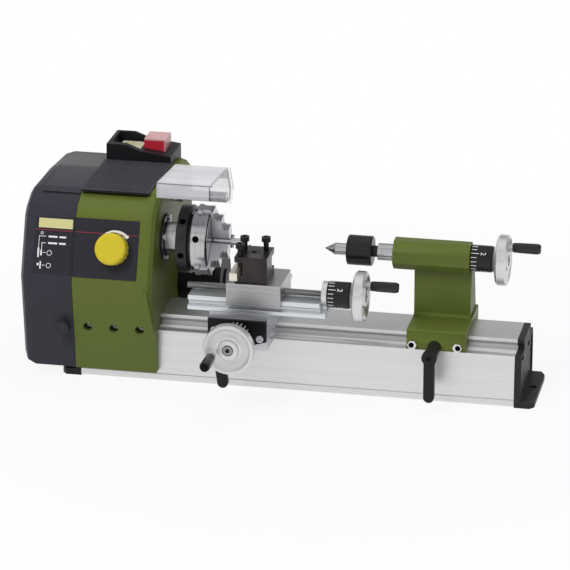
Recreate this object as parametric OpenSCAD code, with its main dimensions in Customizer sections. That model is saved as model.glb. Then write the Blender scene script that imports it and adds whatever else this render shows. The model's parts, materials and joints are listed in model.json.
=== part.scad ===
// Small precision bench lathe: extruded bed, headstock with belt drive, three-jaw chuck,
// cross slide and top slide with a toolpost, and a tailstock with a live centre.
// X runs along the spindle towards the tailstock, Y away from the operator, Z up.
// The origin is on the bench surface, under the middle of the bed.

/* [Bed] */
// Length of the extruded bed
bed_len = 330; // [310:5:400]
// Depth of the bed box from front to back
bed_w = 64.6; // [62:0.2:68]
// Height of the bed box over its own underside
bed_box_h = 39.6; // [36:0.2:44]
// Height of the guide rail over the bed box
guide_h = 8.4; // [7.6:0.2:10]
// Width of the guide rail at its top
guide_w = 36; // [32:1:40]
// Wall thickness of the extrusion
bed_wall = 3.4; // [2.5:0.1:5]
// How far the end feet hold the bed off the bench
bed_lift = 1; // [0.5:0.5:3]

/* [Feet] */
// Thickness of each end plate
foot_plate_t = 5; // [4:0.5:7]
// How far the foot flange stands out from the plate
foot_flange = 10; // [8:1:14]
// Thickness of the foot flange
foot_flange_t = 5; // [4:0.5:7]
// Diameter of the bench bolt hole in each foot
bench_hole_d = 5.5; // [4:0.5:6]

/* [Headstock] */
// Height of the spindle axis over the top of the guide
centre_height = 55; // [50:1:60]
// How far the belt cover's seam stands out past the bed's left end
seam_out = 2.2; // [1:0.2:4]
// Length of the housing along the spindle
head_len = 61.2; // [58:0.2:68]
// Wall thickness of the headstock casting
head_wall = 4; // [3:0.5:5]
// Radius of the round at the housing's right edge
head_round = 8; // [5:1:10]
// Length of the belt cover along the spindle
cover_len = 41.3; // [38:0.5:46]
// Wall thickness of the belt cover
cover_wall = 2.6; // [2:0.2:3.4]
// Diameter of the set screws that clamp the headstock on the guide
clamp_screw_d = 5; // [4:0.5:6]
// Distance between the headstock clamp screws
clamp_screw_pitch = 20; // [16:1:22]

/* [Drive] */
// Diameter of the spindle in its bearings
spindle_d = 17; // [14:0.5:19]
// Outer diameter of the spindle bearings
bearing_d = 26; // [24:1:28]
// Width of a spindle bearing
bearing_w = 9; // [7:0.5:11]
// Diameter of the motor
motor_d = 46; // [40:1:50]
// Length of the motor, which stands out at the headstock's right
motor_len = 91; // [80:1:94]
// Diameter of the larger step of the spindle pulley
big_step_d = 46; // [40:1:50]
// Diameter of the smaller step of the spindle pulley
small_step_d = 32; // [28:1:36]
// Diameter of the smaller step of the motor pulley
motor_step_d = 15; // [13:1:19]
// Width of one pulley step
step_w = 8; // [7:0.5:9]
// Thickness of the drive belt
belt_t = 2; // [1.5:0.25:2.5]

/* [Chuck] */
// Diameter of the scroll ring
scroll_d = 51.6; // [48:0.2:54]
// Diameter of the chuck body
chuck_d = 50.6; // [47:0.2:53]
// Length of the chuck body
chuck_len = 13; // [12:0.5:16]
// Width of a chuck jaw
jaw_w = 10; // [8:0.5:11]
// Radial pitch of the scroll spiral
scroll_pitch = 4; // [3.6:0.1:4.4]
// Turned-back angle of the first jaw from straight up
jaw_angle = 11; // [0:1:30]
// Diameter of the bar held in the chuck
rod_d = 5.3; // [4:0.1:5.8]
// Length of the bar that stands out of the jaws
rod_out = 12.7; // [8:0.5:14]

/* [Guard] */
// Diameter of the shaft that carries the chuck guard
guard_shaft_d = 8; // [6:0.5:9]
// Wall thickness of the clear guard
guard_t = 1.8; // [1.4:0.2:2.4]
// Width of the guard along the spindle
guard_w = 42.5; // [38:0.5:46]

/* [Carriage] */
// Left end of the saddle
saddle_x = -60; // [-62:1:-56]
// Length of the saddle along the bed
saddle_len = 44; // [40:1:48]
// Height of the saddle's top over the bench
saddle_top = 64.2; // [62:0.2:66]
// Height of the cross feed screw over the bench
cross_z = 53; // [53:0.1:54]
// Thickness of the cross slide plate
cross_t = 3.6; // [3:0.2:5]
// Length of the slide rail on the cross slide
rail_len = 104; // [98:1:112]
// Height of the top slide block
block_h = 17.4; // [16:0.2:19]
// Length of the top slide block along the rail
block_len = 41; // [38:1:46]
// Diameter of the feed screws
screw_d = 5; // [4.5:0.5:6]

/* [Toolpost] */
// Width of the toolpost, left to right
post_w = 24.5; // [23.5:0.5:28]
// Depth of the toolpost, front to back
post_depth = 26.6; // [25.6:0.2:29]
// Height of the toolpost
post_h = 20; // [18:1:24]
// Side of the square turning tool
tool_side = 6; // [5:0.5:7]
// Length of the turning tool
tool_len = 65; // [60:1:68]

/* [Handwheels] */
// Diameter of the handwheels
wheel_d = 38; // [34:1:40]
// Thickness of the handwheels
wheel_t = 11.2; // [9:0.2:12]
// Diameter of the graduated dials
dial_d = 20; // [18:0.5:22]
// Distance from the wheel's centre to its handle
handle_offset = 13.9; // [12:0.1:14.4]
// Diameter of the handwheel handles
handle_d = 8; // [6:0.5:9]
// Length of the handwheel handles
handle_len = 21; // [16:1:26]

/* [Tailstock] */
// Left side of the tailstock base
tail_x = 84; // [78:1:88]
// Length of the tailstock base along the bed
tail_len = 44; // [40:1:48]
// Width of the tailstock barrel across its flats
barrel_af = 22; // [20:0.5:24]
// How far the barrel stands out to the left of the base
barrel_nose = 15; // [12:1:18]
// Diameter of the quill
quill_d = 13; // [12:0.5:14]
// How far the quill stands out at rest
quill_out = 12.2; // [10:0.2:18]
// Diameter of the live centre's body
centre_d = 22.6; // [20:0.2:24]

/* [Hidden] */
$fn = 48;
eps = 0.01;
// Gap between flat sliding faces
slide_gap = 0.2;
// Radial gap of a shaft that turns or slides in its bore
run_gap = 0.05;
// Gap left at rest between parts that only come close
near_gap = 0.3;

// Levels over the bench
box_z = bed_lift + bed_box_h;
guide_z = box_z + guide_h;
axis_z = guide_z + centre_height;
bed_left = -bed_len / 2;
bed_right = bed_len / 2;
seam_x = bed_left - seam_out;
bed_y = bed_w / 2;
// Section of the guide: a flared head on a narrower neck
guide_y = guide_w / 2;
guide_flare = 2.8;
guide_head_h = 2.8;
guide_neck_y = guide_y - guide_flare;
face_lean = 1.2;
face_fold_h = 27.8;
groove_h = 5.2;
groove_w = 0.8;

// Colours, as the photograph shows them
c_green = [0.33, 0.38, 0.18];
c_black = [0.13, 0.13, 0.15];
c_alu = [0.80, 0.81, 0.82];
c_steel = [0.62, 0.62, 0.63];
c_dark = [0.22, 0.21, 0.21];

// Side view of the headstock, front to the left, as Y and Z
head_pts = [[-39, 9], [-47, axis_z - 23], [-30.2, axis_z + 22], [-24, axis_z + 29.4], [-8.3, axis_z + 37.5],
            [40, axis_z + 37.2], [88, axis_z + 33.5], [97, axis_z + 26], [97, 15], [92, 9]];
head_right = seam_x + head_len;
cover_left = seam_x - cover_len;
panel_low = head_pts[1];
panel_high = head_pts[2];
panel_tilt = atan2(panel_high[1] - panel_low[1], panel_high[0] - panel_low[0]);
panel_t = 0.8;
function panel_y(z) = panel_low[0]
    + (z - panel_low[1]) * (panel_high[0] - panel_low[0]) / (panel_high[1] - panel_low[1]);

// Drive
spindle_r = spindle_d / 2;
bearing_r = bearing_d / 2;
nose_x = head_right + 2.2;
motor_y = 60;
motor_z = axis_z - 52;
motor_r = motor_d / 2;
motor_left = seam_x + 3;
motor_right = motor_left + motor_len;
shaft_r = 4;
pulley_x = seam_x - 3;

// Chuck, from the nose to the right
nose_d = 23.6;
nose_len = 11.1;
ring_x = nose_x + nose_len;
ring_t = 8.1;
ring_face_x = ring_x + ring_t;
body_x = ring_face_x + 2.7;
body_face_x = body_x + chuck_len;
hub_r = 8;
chuck_bore_r = 6;
window_w = 5;
tooth_w = 4.4;
tooth_t = 1.3;
thread_t = 1.7;
thread_h = 2.2;
thread_in = 9.5;
thread_turns = 3;
slot_foot_x = body_x + 3;
slot_foot_t = 4;
neck_w = jaw_w - 3;
jaw_in = rod_d / 2 + 0.1;
jaw_tip_x = body_face_x + 13.2;
jaw_out = 2.6;
jaw_r = chuck_d / 2 + jaw_out;
mid_step_r = 20.7;
tip_step_r = 12.9;
mid_step_x = jaw_tip_x - 5.1;
low_step_x = jaw_tip_x - 10.9;
notch_w = 1.5;
notch_deep = 1.5;
notch_pitch = 2;
tommy_r = 2.5;

// Guard
guard_y = 30;
guard_z = axis_z + 24;
guard_x = head_right + 1.2;
guard_front = -32;
guard_pts = [[guard_front, axis_z + 42], [guard_front + 1, axis_z + 53.3], [30, axis_z + 47.9],
             [41.6, axis_z + 28], [38.5, axis_z + 20.2], [31.5, axis_z + 18.6]];
guard_hub_r = 5.6;
guard_hub_len = 6;

// Carriage, at rest
saddle_right = saddle_x + saddle_len;
saddle_mid = saddle_x + saddle_len / 2;
saddle_front = -57;
saddle_back = 32;
saddle_low = box_z + slide_gap;
rib_w = 28;
rib_h = 6;
rib_front = -28;
rib_back = 35;
cross_low = saddle_top + slide_gap;
cross_top = cross_low + cross_t;
cross_r = screw_d / 2;
rail_y = -38;
rail_x = -77;
foot_w = 32;
rail_foot_h = 3.6;
rail_waist_w = 23;
rail_waist_h = 2;
rail_head_w = 29;
rail_head_h = 5.2;
rail_head_low = cross_top + rail_foot_h + rail_waist_h;
rail_top = rail_head_low + rail_head_h;
rail_right = rail_x + rail_len;
head_end_x = rail_right - 4.6;
top_screw_z = rail_top + cross_r + 0.4;
block_x = -47;
block_low = rail_head_low + 1;
block_top = block_low + block_h;
block_front = -57.4;
block_back = -18.8;
post_x = -41;
post_y = -55;
tool_out = 1.2;
tool_x = post_x - tool_out;
tool_z = axis_z - tool_side;
tool_tip_y = -3;
plate_t = 3;
dial_len = 18.4;
index_t = 4;

// Tailstock
tail_right = tail_x + tail_len;
tail_front = -32;
tail_base_top = 56;
column_front = 1;
barrel_left = tail_x - barrel_nose;
barrel_right = tail_right - 1.4;
quill_r = quill_d / 2;
quill_left = barrel_left - quill_out;

// Swings Z to run along X
module along_x() rotate([0, 90, 0]) children();

// Swings Z to run towards the operator
module to_front() rotate([90, 0, 0]) children();

// Extrudes a drawing made in Y and Z along X, from the left end x0 over a length
module run_x(x0, len) translate([x0, 0, 0]) rotate([90, 0, 90]) linear_extrude(len) children();

// A box between two corners
module box(low, high) translate(low) cube([for (i = [0:2]) high[i] - low[i]]);

// A round bar along X
module bar_x(x0, x1, r, y = 0, z = axis_z) translate([x0, y, z]) along_x() cylinder(r = r, h = x1 - x0);

// A round bar along Y
module bar_y(y0, y1, r, x, z) translate([x, y1, z]) to_front() cylinder(r = r, h = y1 - y0);

// Cap screw with a hexagon socket, head upwards from z = 0, shank below
module cap_screw(d, shank, head_h, head_d) difference() {
    union() {
        translate([0, 0, -shank]) cylinder(d = d, h = shank + eps);
        cylinder(d = head_d, h = head_h);
    }
    translate([0, 0, head_h - 0.55 * head_h]) cylinder(d = 0.55 * head_d, h = head_h, $fn = 6);
}

// Half outline of the guide, grown outwards by g for the part that slides on it
function guide_half(g) = [[guide_neck_y + g, box_z - 1],
    [guide_neck_y + g, guide_z - 2 * guide_head_h - 0.4 * g],
    [guide_y + g, guide_z - guide_head_h - 0.4 * g], [guide_y + g, guide_z + g]];

module guide_section(g) {
    half = guide_half(g);
    polygon(concat(half, [for (i = [3:-1:0]) [-half[i][0], half[i][1]]]));
}

// Outline of the bed box with its leaning upper faces
module bed_section() difference() {
    union() {
        polygon([[-bed_y, bed_lift], [-bed_y, bed_lift + face_fold_h], [-bed_y + face_lean, box_z],
                 [bed_y - face_lean, box_z], [bed_y, bed_lift + face_fold_h], [bed_y, bed_lift]]);
        guide_section(0);
    }
    for (side = [-1, 1]) translate([side * bed_y, bed_lift + groove_h])
        square([2 * groove_w, groove_w], center = true);
}

// One of the two chambers in the extrusion, with a screw port under its top wall
module bed_chamber() difference() {
    translate([bed_wall / 2, bed_lift + bed_wall]) square([bed_y - 2 * bed_wall, bed_box_h - 2.4 * bed_wall]);
    translate([foot_screw_y, foot_screw_z]) circle(r = foot_screw_d / 2 + 1.8);
}

module bed_extrusion() color(c_alu) difference() {
    run_x(bed_left, bed_len) bed_section();
    run_x(bed_left - 1, bed_len + 2) {
        bed_chamber();
        mirror([1, 0]) bed_chamber();
        for (side = [-1, 1]) translate([side * foot_screw_y, foot_screw_z])
            circle(r = foot_screw_d / 2 + eps);
    }
}

// End plate that follows the bed's outline, with a flange and one bolt hole at its bottom
module end_foot() {
    difference() {
        union() {
            run_x(0, foot_plate_t) {
                bed_section();
                translate([-bed_y, 0]) square([bed_w, bed_lift + groove_h + 1]);
            }
            hull() {
                box([0, -bed_y, 0], [foot_plate_t + foot_flange - 3, bed_y, foot_flange_t]);
                box([0, -bed_y + 4, 0], [foot_plate_t + foot_flange, bed_y - 4, foot_flange_t - 1]);
            }
        }
        box([foot_plate_t - foot_recess, -bed_y + foot_rim, foot_flange_t + 2],
            [foot_plate_t + 1, bed_y - foot_rim, box_z - foot_rim]);
        translate([foot_plate_t + foot_flange / 2, 0, -1]) cylinder(d = bench_hole_d, h = foot_flange_t + 2);
        for (y = [-1, 1]) translate([-1, y * foot_screw_y, foot_screw_z]) along_x()
            cylinder(d = foot_screw_d + 0.2, h = foot_plate_t + 2);
    }
}

foot_rim = 2;
foot_recess = 1.2;
foot_screw_y = bed_y / 2;
foot_screw_z = box_z - bed_wall - 2.6;
foot_screw_d = 3;
foot_screw_len = 12;
foot_screw_head = 5;

module left_end_foot() color(c_black) translate([bed_left, 0, 0]) mirror([1, 0, 0]) end_foot();

module right_end_foot() color(c_black) translate([bed_right, 0, 0]) end_foot();

// Two cap screws through each end plate into the bed
module end_foot_screws() color(c_dark) for (side = [-1, 1]) for (y = [-1, 1])
    translate([side * (bed_right + foot_plate_t - foot_recess), y * foot_screw_y, foot_screw_z])
        rotate([0, side * 90, 0]) cap_screw(foot_screw_d, foot_screw_len, 1.2, foot_screw_head);

// Slice of the headstock's side view, pulled in by inset
module head_slice(x0, len, inset = 0) run_x(x0, len) offset(delta = -inset) polygon(head_pts);

// The lower part of the housing has no rounded edge, and flares to the right
module head_foot() hull() {
    run_x(seam_x, head_len + 1.2) polygon([head_pts[0], [-42, 36], [97, 36], head_pts[8], head_pts[9]]);
    run_x(seam_x, head_len - 4.5) polygon([[-42, 36], [-46.4, axis_z - 28], [97, axis_z - 28], [97, 36]]);
}

module headstock_housing() color(c_green) difference() {
    union() {
        hull() {
            head_slice(seam_x, head_len - head_round);
            head_slice(seam_x, head_len - 0.45 * head_round, 0.16 * head_round);
            head_slice(seam_x, head_len - 0.12 * head_round, 0.5 * head_round);
            head_slice(seam_x, head_len, head_round);
        }
        head_foot();
        cover_lug();
    }
    bed_passage();
    run_x(seam_x - 1, head_len - head_wall * 1.5 + 1) head_cavity();
    bar_x(seam_x - 1, seam_x + bearing_w + eps, bearing_r + eps);
    bar_x(head_right - bearing_w - eps, head_right + 1, bearing_r + eps);
    bar_x(seam_x - 1, head_right + 1, spindle_r + 1.5);
    bar_x(seam_x - 1, motor_right, motor_r + eps, motor_y, motor_z);
    for (i = [0:2]) bar_y(-60, -guide_y, clamp_screw_d / 2 + 0.1, clamp_x(i), clamp_z);
    for (i = [0:2]) bar_y(-60, -bed_y - 3, clamp_screw_d / 2 + 0.9, clamp_x(i), clamp_z);
    for (i = [0:3]) flange_screw_place(i) cylinder(d = flange_screw_d + 0.1, h = 16, center = true);
    bar_x(head_right - 14, head_right + 1, guard_shaft_d / 2 + eps, guard_y, guard_z);
    pot_place() translate([0, 0, -pot_depth]) cylinder(d = pot_d + 0.2, h = pot_depth + 5);
    switch_pocket();
    for (i = [0:5]) vent_slot(i);
}

// Section of the hollow casting: walls, bearing tube, motor tube and the webs between them
module head_cavity() difference() {
    offset(delta = -head_wall) polygon(head_pts);
    translate([-100, 0]) square([100 - bed_y, guide_z + 8]);
    translate([-bed_y - 1, 0]) square([bed_w + 2 + head_wall, guide_z + head_wall]);
    translate([0, axis_z]) circle(r = bearing_r + head_wall);
    translate([motor_y, motor_z]) circle(r = motor_r + 3);
    translate([-head_wall / 2, guide_z]) square([head_wall, centre_height]);
    translate([0, axis_z - head_wall / 2]) square([motor_y, head_wall]);
    translate([motor_y - head_wall / 2, motor_z]) square([head_wall, axis_z - motor_z]);
}

// Way through the housing for the bed, with a gap all round
module bed_passage() {
    run_x(seam_x - 1, head_len + 4) {
        translate([-bed_y - slide_gap, 0]) square([bed_w + 2 * slide_gap, box_z + slide_gap]);
        guide_section(slide_gap);
    }
}

clamp_z = box_z + 5.6 - 2.6;
function clamp_x(i) = head_right - 10.6 - i * clamp_screw_pitch;

vent_w = 3;
vent_h = 30;
module vent_slot(i) {
    x = seam_x + 14 + i * 7;
    box([x, motor_y + motor_r - 6, motor_z - vent_h / 2], [x + vent_w, 110, motor_z + vent_h / 2]);
}

flange_screw_d = 3;
flange_screw_r = bearing_r + 2;
flange_screw_a = -19.5;
module flange_screw_place(i) translate([head_right, 0, axis_z]) rotate([flange_screw_a + 90 * i, 0, 0])
    translate([0, 0, flange_screw_r]) along_x() children();

// Set screws on the guide, and the screws of the bearing flange
module headstock_screws() color(c_steel) {
    for (i = [0:2]) difference() {
        bar_y(-bed_y - 4, -guide_y - 0.02, clamp_screw_d / 2, clamp_x(i), clamp_z);
        translate([clamp_x(i), -bed_y - 1.5, clamp_z]) to_front()
            cylinder(d = 0.5 * clamp_screw_d, h = 4, $fn = 6);
    }
    for (i = [0:3]) flange_screw_place(i) translate([0, 0, flange_t]) cap_screw(flange_screw_d, 9, 1.8, 4.6);
}

flange_t = 1.4;
flange_d = 35.6;
// Flange that holds the front bearing, with a dark boss round the spindle nose
module bearing_flange() color(c_dark) difference() {
    union() {
        bar_x(head_right, head_right + flange_t, flange_d / 2);
        bar_x(head_right, nose_x - 0.1, nose_d / 2 + 0.8);
    }
    bar_x(head_right - 1, nose_x + 1, spindle_r + 0.4);
    for (i = [0:3]) flange_screw_place(i) cylinder(d = flange_screw_d + 0.1, h = 16, center = true);
}

// Lug on the housing with an open slot for the cover's thumb screw
lug_t = 4;
knob_x = seam_x - 7.3;
knob_z = 44;
knob_stem_r = 2.5;
module cover_lug() difference() {
    back = lug_y + lug_t;
    box([knob_x - 6, lug_y, knob_z - 7], [seam_x + 2, back, knob_z + 7]);
    box([knob_x - 8, lug_y - 1, knob_z - knob_stem_r - near_gap],
        [knob_x, back + 1, knob_z + knob_stem_r + near_gap]);
    bar_y(lug_y - 1, back + 1, knob_stem_r + near_gap, knob_x, knob_z);
}
lug_y = cover_front_y(knob_z) + cover_wall + 1.2;
function cover_front_y(z) = head_pts[0][0]
    + (z - head_pts[0][1]) * (head_pts[1][0] - head_pts[0][0]) / (head_pts[1][1] - head_pts[0][1]);

module belt_cover() color(c_black) difference() {
    hull() {
        head_slice(cover_left + 10, cover_len - 10 - near_gap);
        head_slice(cover_left + 3.2, 1, 2.4);
        head_slice(cover_left, 1, 8);
    }
    hull() {
        head_slice(cover_left + 10, cover_len, cover_wall);
        head_slice(cover_left + 3.2, 1, cover_wall + 2.4);
        head_slice(cover_left + cover_wall, 1, cover_wall + 8);
    }
    box([bed_left - foot_plate_t - foot_flange - 1, -bed_y - 1, 0],
        [seam_x + 1, bed_y + 1, 9 + cover_wall + 1]);
    bar_y(-60, -30, knob_stem_r + 0.15, knob_x, knob_z);
    translate([seam_x, -100, 0]) cube([5, 300, 200]);
}

// Thumb screw that stays in the cover and clamps behind the lug
module cover_knob() color(c_black) {
    y0 = cover_front_y(knob_z) - 2;
    difference() {
        union() {
            bar_y(y0 - 6.5, y0, 5.2, knob_x, knob_z);
            bar_y(y0 - 1, lug_y + lug_t + 3, knob_stem_r, knob_x, knob_z);
            bar_y(lug_y + lug_t + near_gap, lug_y + lug_t + 3, 4, knob_x, knob_z);
        }
        bar_y(y0 - 7, y0 - 6, 3.6, knob_x, knob_z);
        for (a = [0:30:330]) translate([knob_x, 0, knob_z]) rotate([0, a, 0])
            bar_y(y0 - 7, y0 + 1, 0.7, 5.5, 0);
    }
}

// Point on the leaning panel where the speed knob sits
knob_face_z = axis_z + 1.1;
speed_x = seam_x + 30.4;
module pot_place() translate([speed_x, panel_y(knob_face_z), knob_face_z]) rotate([panel_tilt, 0, 0])
    children();

pot_d = 16;
pot_depth = 13;
pot_shaft_r = 3;
module speed_potentiometer() color(c_steel) pot_place() difference() {
    translate([0, 0, -pot_depth + 0.1]) cylinder(d = pot_d, h = pot_depth - 1);
    translate([0, 0, -pot_depth + 3]) cylinder(r = pot_shaft_r + run_gap, h = pot_depth);
}

speed_knob_d = 24;
speed_knob_h = 12;
// Knob with finger notches round its rim, and its own shaft
module speed_knob() color([0.85, 0.75, 0.1]) pot_place() difference() {
    union() {
        translate([0, 0, -pot_depth + 3.5]) cylinder(r = pot_shaft_r, h = pot_depth);
        rotate_extrude() polygon([[0, panel_t + 0.5], [speed_knob_d / 2, panel_t + 0.5],
            [speed_knob_d / 2, speed_knob_h - 2.2], [speed_knob_d / 2 - 0.6, speed_knob_h - 0.8],
            [speed_knob_d / 2 - 2, speed_knob_h], [0, speed_knob_h]]);
    }
    for (a = [0:20:340]) rotate([0, 0, a]) translate([speed_knob_d / 2 + 0.9, 0, 0])
        cylinder(r = 1.3, h = speed_knob_h - 2.5, $fn = 16);
}

panel_right = head_right - 12;
panel_low_z = axis_z - 20;
// Dark plate on the leaning face, with a hole for the knob's shaft
module control_panel_plate() color(c_dark) difference() {
    pot_place() {
        low = -(knob_face_z - panel_low_z) / sin(panel_tilt);
        high = (panel_high[1] - 0.4 - knob_face_z) / sin(panel_tilt);
        box([seam_x + 0.2 - speed_x, low, 0.02], [panel_right - speed_x, high, panel_t]);
    }
    pot_place() translate([0, 0, -1]) cylinder(r = pot_shaft_r + 0.4, h = 5);
}

mat_t = 1.5;
mat_front = -15;
mat_back = 58.5;
mat_right = head_right - 8.5;
mat_rib = 2.4;
// Tray mat on top of the headstock, with shallow grooves along it and a round corner
module tool_tray_mat() color(c_black) difference() {
    top = head_pts[5][1] + mat_t;
    low = top - 20;
    intersection() {
        hull() {
            box([seam_x + 0.4, mat_front, low], [seam_x + 1, mat_back, top]);
            translate([mat_right - 4, mat_front + 4, low]) cylinder(r = 4, h = top - low, $fn = 32);
            box([mat_right - 1, mat_back - 1, low], [mat_right, mat_back, top]);
        }
        difference() {
            box([seam_x, mat_front - 1, head_pts[4][1] - 0.6], [0, 100, top + 1]);
            run_x(seam_x - 1, 90) polygon([for (p = head_pts) p + [0, 0.02]]);
        }
    }
    for (y = [mat_front + 3:mat_rib:mat_back - 2])
        box([seam_x - 1, y, top - 0.5], [mat_right - 2, y + mat_rib / 2, top + 1]);
}

switch_left = seam_x + 1;
switch_right = head_right - 9.6;
switch_front = 60;
switch_back = 95.5;
switch_z = axis_z + 36.3;
switch_high = switch_z + 14.3;
switch_low = switch_z + 6.7;
switch_floor = switch_z - 13.3;
on_x = [seam_x + 7.2, seam_x + 25.7];
off_x = [seam_x + 28.6, seam_x + 45.2];
on_top = switch_z + 8.3;
off_top = switch_z + 16.9;
button_y = [70, 89];
button_travel = 2;
// Pocket in the housing's top, under the switch, that the buttons dip into
module switch_pocket() box([switch_left + 5, switch_front + 3, switch_floor - 1],
    [switch_right - 5, switch_back - 4, switch_high]);

// Switch box with a high left end, sloping to the right, and a well for each button
module switch_housing() color(c_black) difference() {
    translate([0, switch_back, 0]) to_front() linear_extrude(switch_back - switch_front)
        polygon([[switch_left, switch_z - 6], [switch_left, switch_high], [on_x[0] + 9, switch_high],
                 [off_x[0] - 1.9, switch_low + 3.4], [switch_right, switch_low],
                     [switch_right, switch_z - 6]]);
    run_x(switch_left - 1, switch_right - switch_left + 2)
        polygon(concat([for (i = [4:7]) head_pts[i] + [0, 0.02]], [[97, axis_z - 4], [-8, axis_z - 4]]));
    for (x = [on_x, off_x]) box([x[0] - 0.2, button_y[0] - 0.2, switch_floor],
        [x[1] + 0.2, button_y[1] + 0.2, off_top + 10]);
    box([on_x[0] - 3, button_y[0] - 4.5, switch_low], [on_x[1] + 1, button_y[1] + 3.5, switch_high + 10]);
}

module button(x, top) {
    box([x[0], button_y[0], switch_floor + 4 + button_travel + 0.4], [x[1], button_y[1], top]);
}
module on_button() color([0.6, 0.62, 0.2]) button(on_x, on_top);
module off_button() color([0.75, 0.1, 0.15]) button(off_x, off_top);

// Motor with a turned end bell at its right, a bearing boss and cooling holes in its left end
module motor_body() color(c_dark) difference() {
    union() {
        translate([0, motor_y, motor_z]) along_x() rotate_extrude()
            polygon([[0, motor_left], [motor_r, motor_left],
            [motor_r, motor_right - 12], [motor_r - 0.8, motor_right - 11.2],
                [motor_r - 0.8, motor_right - 4],
            [motor_r - 3.4, motor_right], [0, motor_right]]);
        bar_x(motor_right - 1, motor_right + 1.6, 7, motor_y, motor_z);
    }
    bar_x(motor_left - 1, motor_right - 6, shaft_r + run_gap, motor_y, motor_z);
    for (a = [0:45:315]) translate([motor_left - 1, motor_y, motor_z]) rotate([a, 0, 0])
        translate([0, 0, motor_r - 6]) along_x() cylinder(r = 2.4, h = 5);
}

// Two flanged belt steps on one hub, with a bore
module pulley(x_right, r_left, r_right, y, z, bore) difference() {
    union() {
        bar_x(x_right - 2 * step_w, x_right - step_w, r_left, y, z);
        bar_x(x_right - step_w, x_right, r_right, y, z);
        for (x = [x_right - 2 * step_w - 1.2, x_right - step_w - 0.6, x_right])
            bar_x(x, x + 1.2, max(x < x_right - 1.5 * step_w ? r_left : r_right,
                x == x_right ? r_right : r_left) + 2, y, z);
    }
    bar_x(x_right - 2 * step_w - 3, x_right + 3, bore, y, z);
}

// Motor shaft with its pulley
module motor_pulley() color(c_steel) {
    pulley(pulley_x - 1.2, motor_step_d / 2, motor_big_r, motor_y, motor_z, shaft_r - 0.5);
    bar_x(pulley_x - 2 * step_w - 3, motor_right - 8, shaft_r, motor_y, motor_z);
}
motor_big_r = motor_step_d / 2 + (big_step_d - small_step_d) / 2;

module spindle_pulley() color(c_alu) pulley(pulley_x - 1.2, big_step_d / 2, small_step_d / 2, 0, axis_z,
    spindle_r - 2.5 + eps);

// Endless belt round the left steps of both pulleys
belt_w = 5;
belt_gap = 0.15;
module drive_belt() color(c_dark) {
    x0 = pulley_x - 1.2 - 1.5 * step_w - belt_w / 2;
    run_x(x0, belt_w) difference() {
        belt_loop(belt_gap + belt_t);
        belt_loop(belt_gap);
    }
}
module belt_loop(grow) hull() {
    translate([0, axis_z]) circle(r = big_step_d / 2 + grow);
    translate([motor_y, motor_z]) circle(r = motor_step_d / 2 + grow);
}

// Bearing as an outer and an inner ring with a filled, recessed middle
module bearing(x0) difference() {
    bar_x(x0, x0 + bearing_w, bearing_r);
    bar_x(x0 - 1, x0 + bearing_w + 1, spindle_r + run_gap);
    for (x = [x0 - 1, x0 + bearing_w - 0.6]) difference() {
        bar_x(x, x + 1.6, bearing_r - 1.8);
        bar_x(x - 1, x + 3, spindle_r + 1.5);
    }
}
module spindle_bearings() color(c_steel) {
    bearing(seam_x);
    bearing(head_right - bearing_w);
}

// Hollow spindle: shaft through both bearings, then the nose with two spanner flats
module spindle() color(c_alu) difference() {
    union() {
        bar_x(pulley_x - 2 * step_w - 6, pulley_x, spindle_r - 2.5);
        bar_x(pulley_x, nose_x + eps, spindle_r);
        difference() {
            bar_x(nose_x, ring_x, nose_d / 2);
            for (side = [-1, 1]) translate([nose_x + 2.5, side * (nose_d / 2 + 3.9), axis_z])
                cube([10, 10, 20], center = true);
        }
    }
    bar_x(pulley_x - 40, ring_x + 1, spindle_r - 5);
}

module at_jaw(k) translate([0, 0, axis_z]) rotate([jaw_angle + 120 * k, 0, 0]) children();

// Place for a turned hole in the rim, at an angle and a distance along X
module rim_hole(x, a, r_out) translate([x, 0, axis_z]) rotate([a, 0, 0]) translate([0, 0, r_out - 9])
    cylinder(r = tommy_r, h = 12);

// Front outline of the slot for a jaw: a wide foot below a narrower neck
module jaw_slot() {
    gap = 0.1;
    box([slot_foot_x, -jaw_w / 2 - gap, 0], [slot_foot_x + slot_foot_t + gap, jaw_w / 2 + gap, chuck_d]);
    box([slot_foot_x, -neck_w / 2 - gap, 0], [body_face_x + 1, neck_w / 2 + gap, chuck_d]);
    box([body_x - 1, -window_w / 2, hub_r + 0.6], [slot_foot_x + 1, window_w / 2, chuck_d]);
}

module chuck_body() color(c_alu) difference() {
    union() {
        translate([0, 0, axis_z]) along_x() rotate_extrude()
            polygon([[0, body_x], [chuck_d / 2 - 0.5, body_x],
            [chuck_d / 2, body_x + 0.5], [chuck_d / 2, body_face_x - 1.6],
                [chuck_d / 2 - 1.6, body_face_x], [0, body_face_x]]);
        bar_x(ring_x, body_x + 1, hub_r);
    }
    bar_x(ring_x - 1, body_face_x + 1, chuck_bore_r);
    for (k = [0:2]) at_jaw(k) jaw_slot();
    for (k = [0:2]) rim_hole(body_x + 4.5, jaw_angle + 60 + 120 * k, chuck_d / 2);
}

// Radius of the spiral's inner edge at a given turn angle in degrees
function thread_r(a) = thread_in + scroll_pitch * a / 360;
// Flat spiral ridge, drawn as one closed outline
module scroll_thread() {
    steps = 24 * thread_turns;
    inner = [for (i = [0:steps]) thread_r(i * 15) * [cos(i * 15), sin(i * 15)]];
    outer = [for (i = [steps:-1:0]) (thread_r(i * 15) + thread_t) * [cos(i * 15), sin(i * 15)]];
    polygon(concat(inner, outer));
}

module scroll_ring() color(c_black) difference() {
    union() {
        bar_x(ring_x + 0.05, ring_face_x, scroll_d / 2);
        translate([ring_face_x - eps, 0, axis_z]) along_x() linear_extrude(thread_h) scroll_thread();
    }
    bar_x(ring_x - 1, ring_face_x + 5, hub_r + run_gap);
    for (k = [0:5]) rim_hole(ring_x + ring_t / 2, 41.5 + 60 * k, scroll_d / 2);
}

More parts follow.
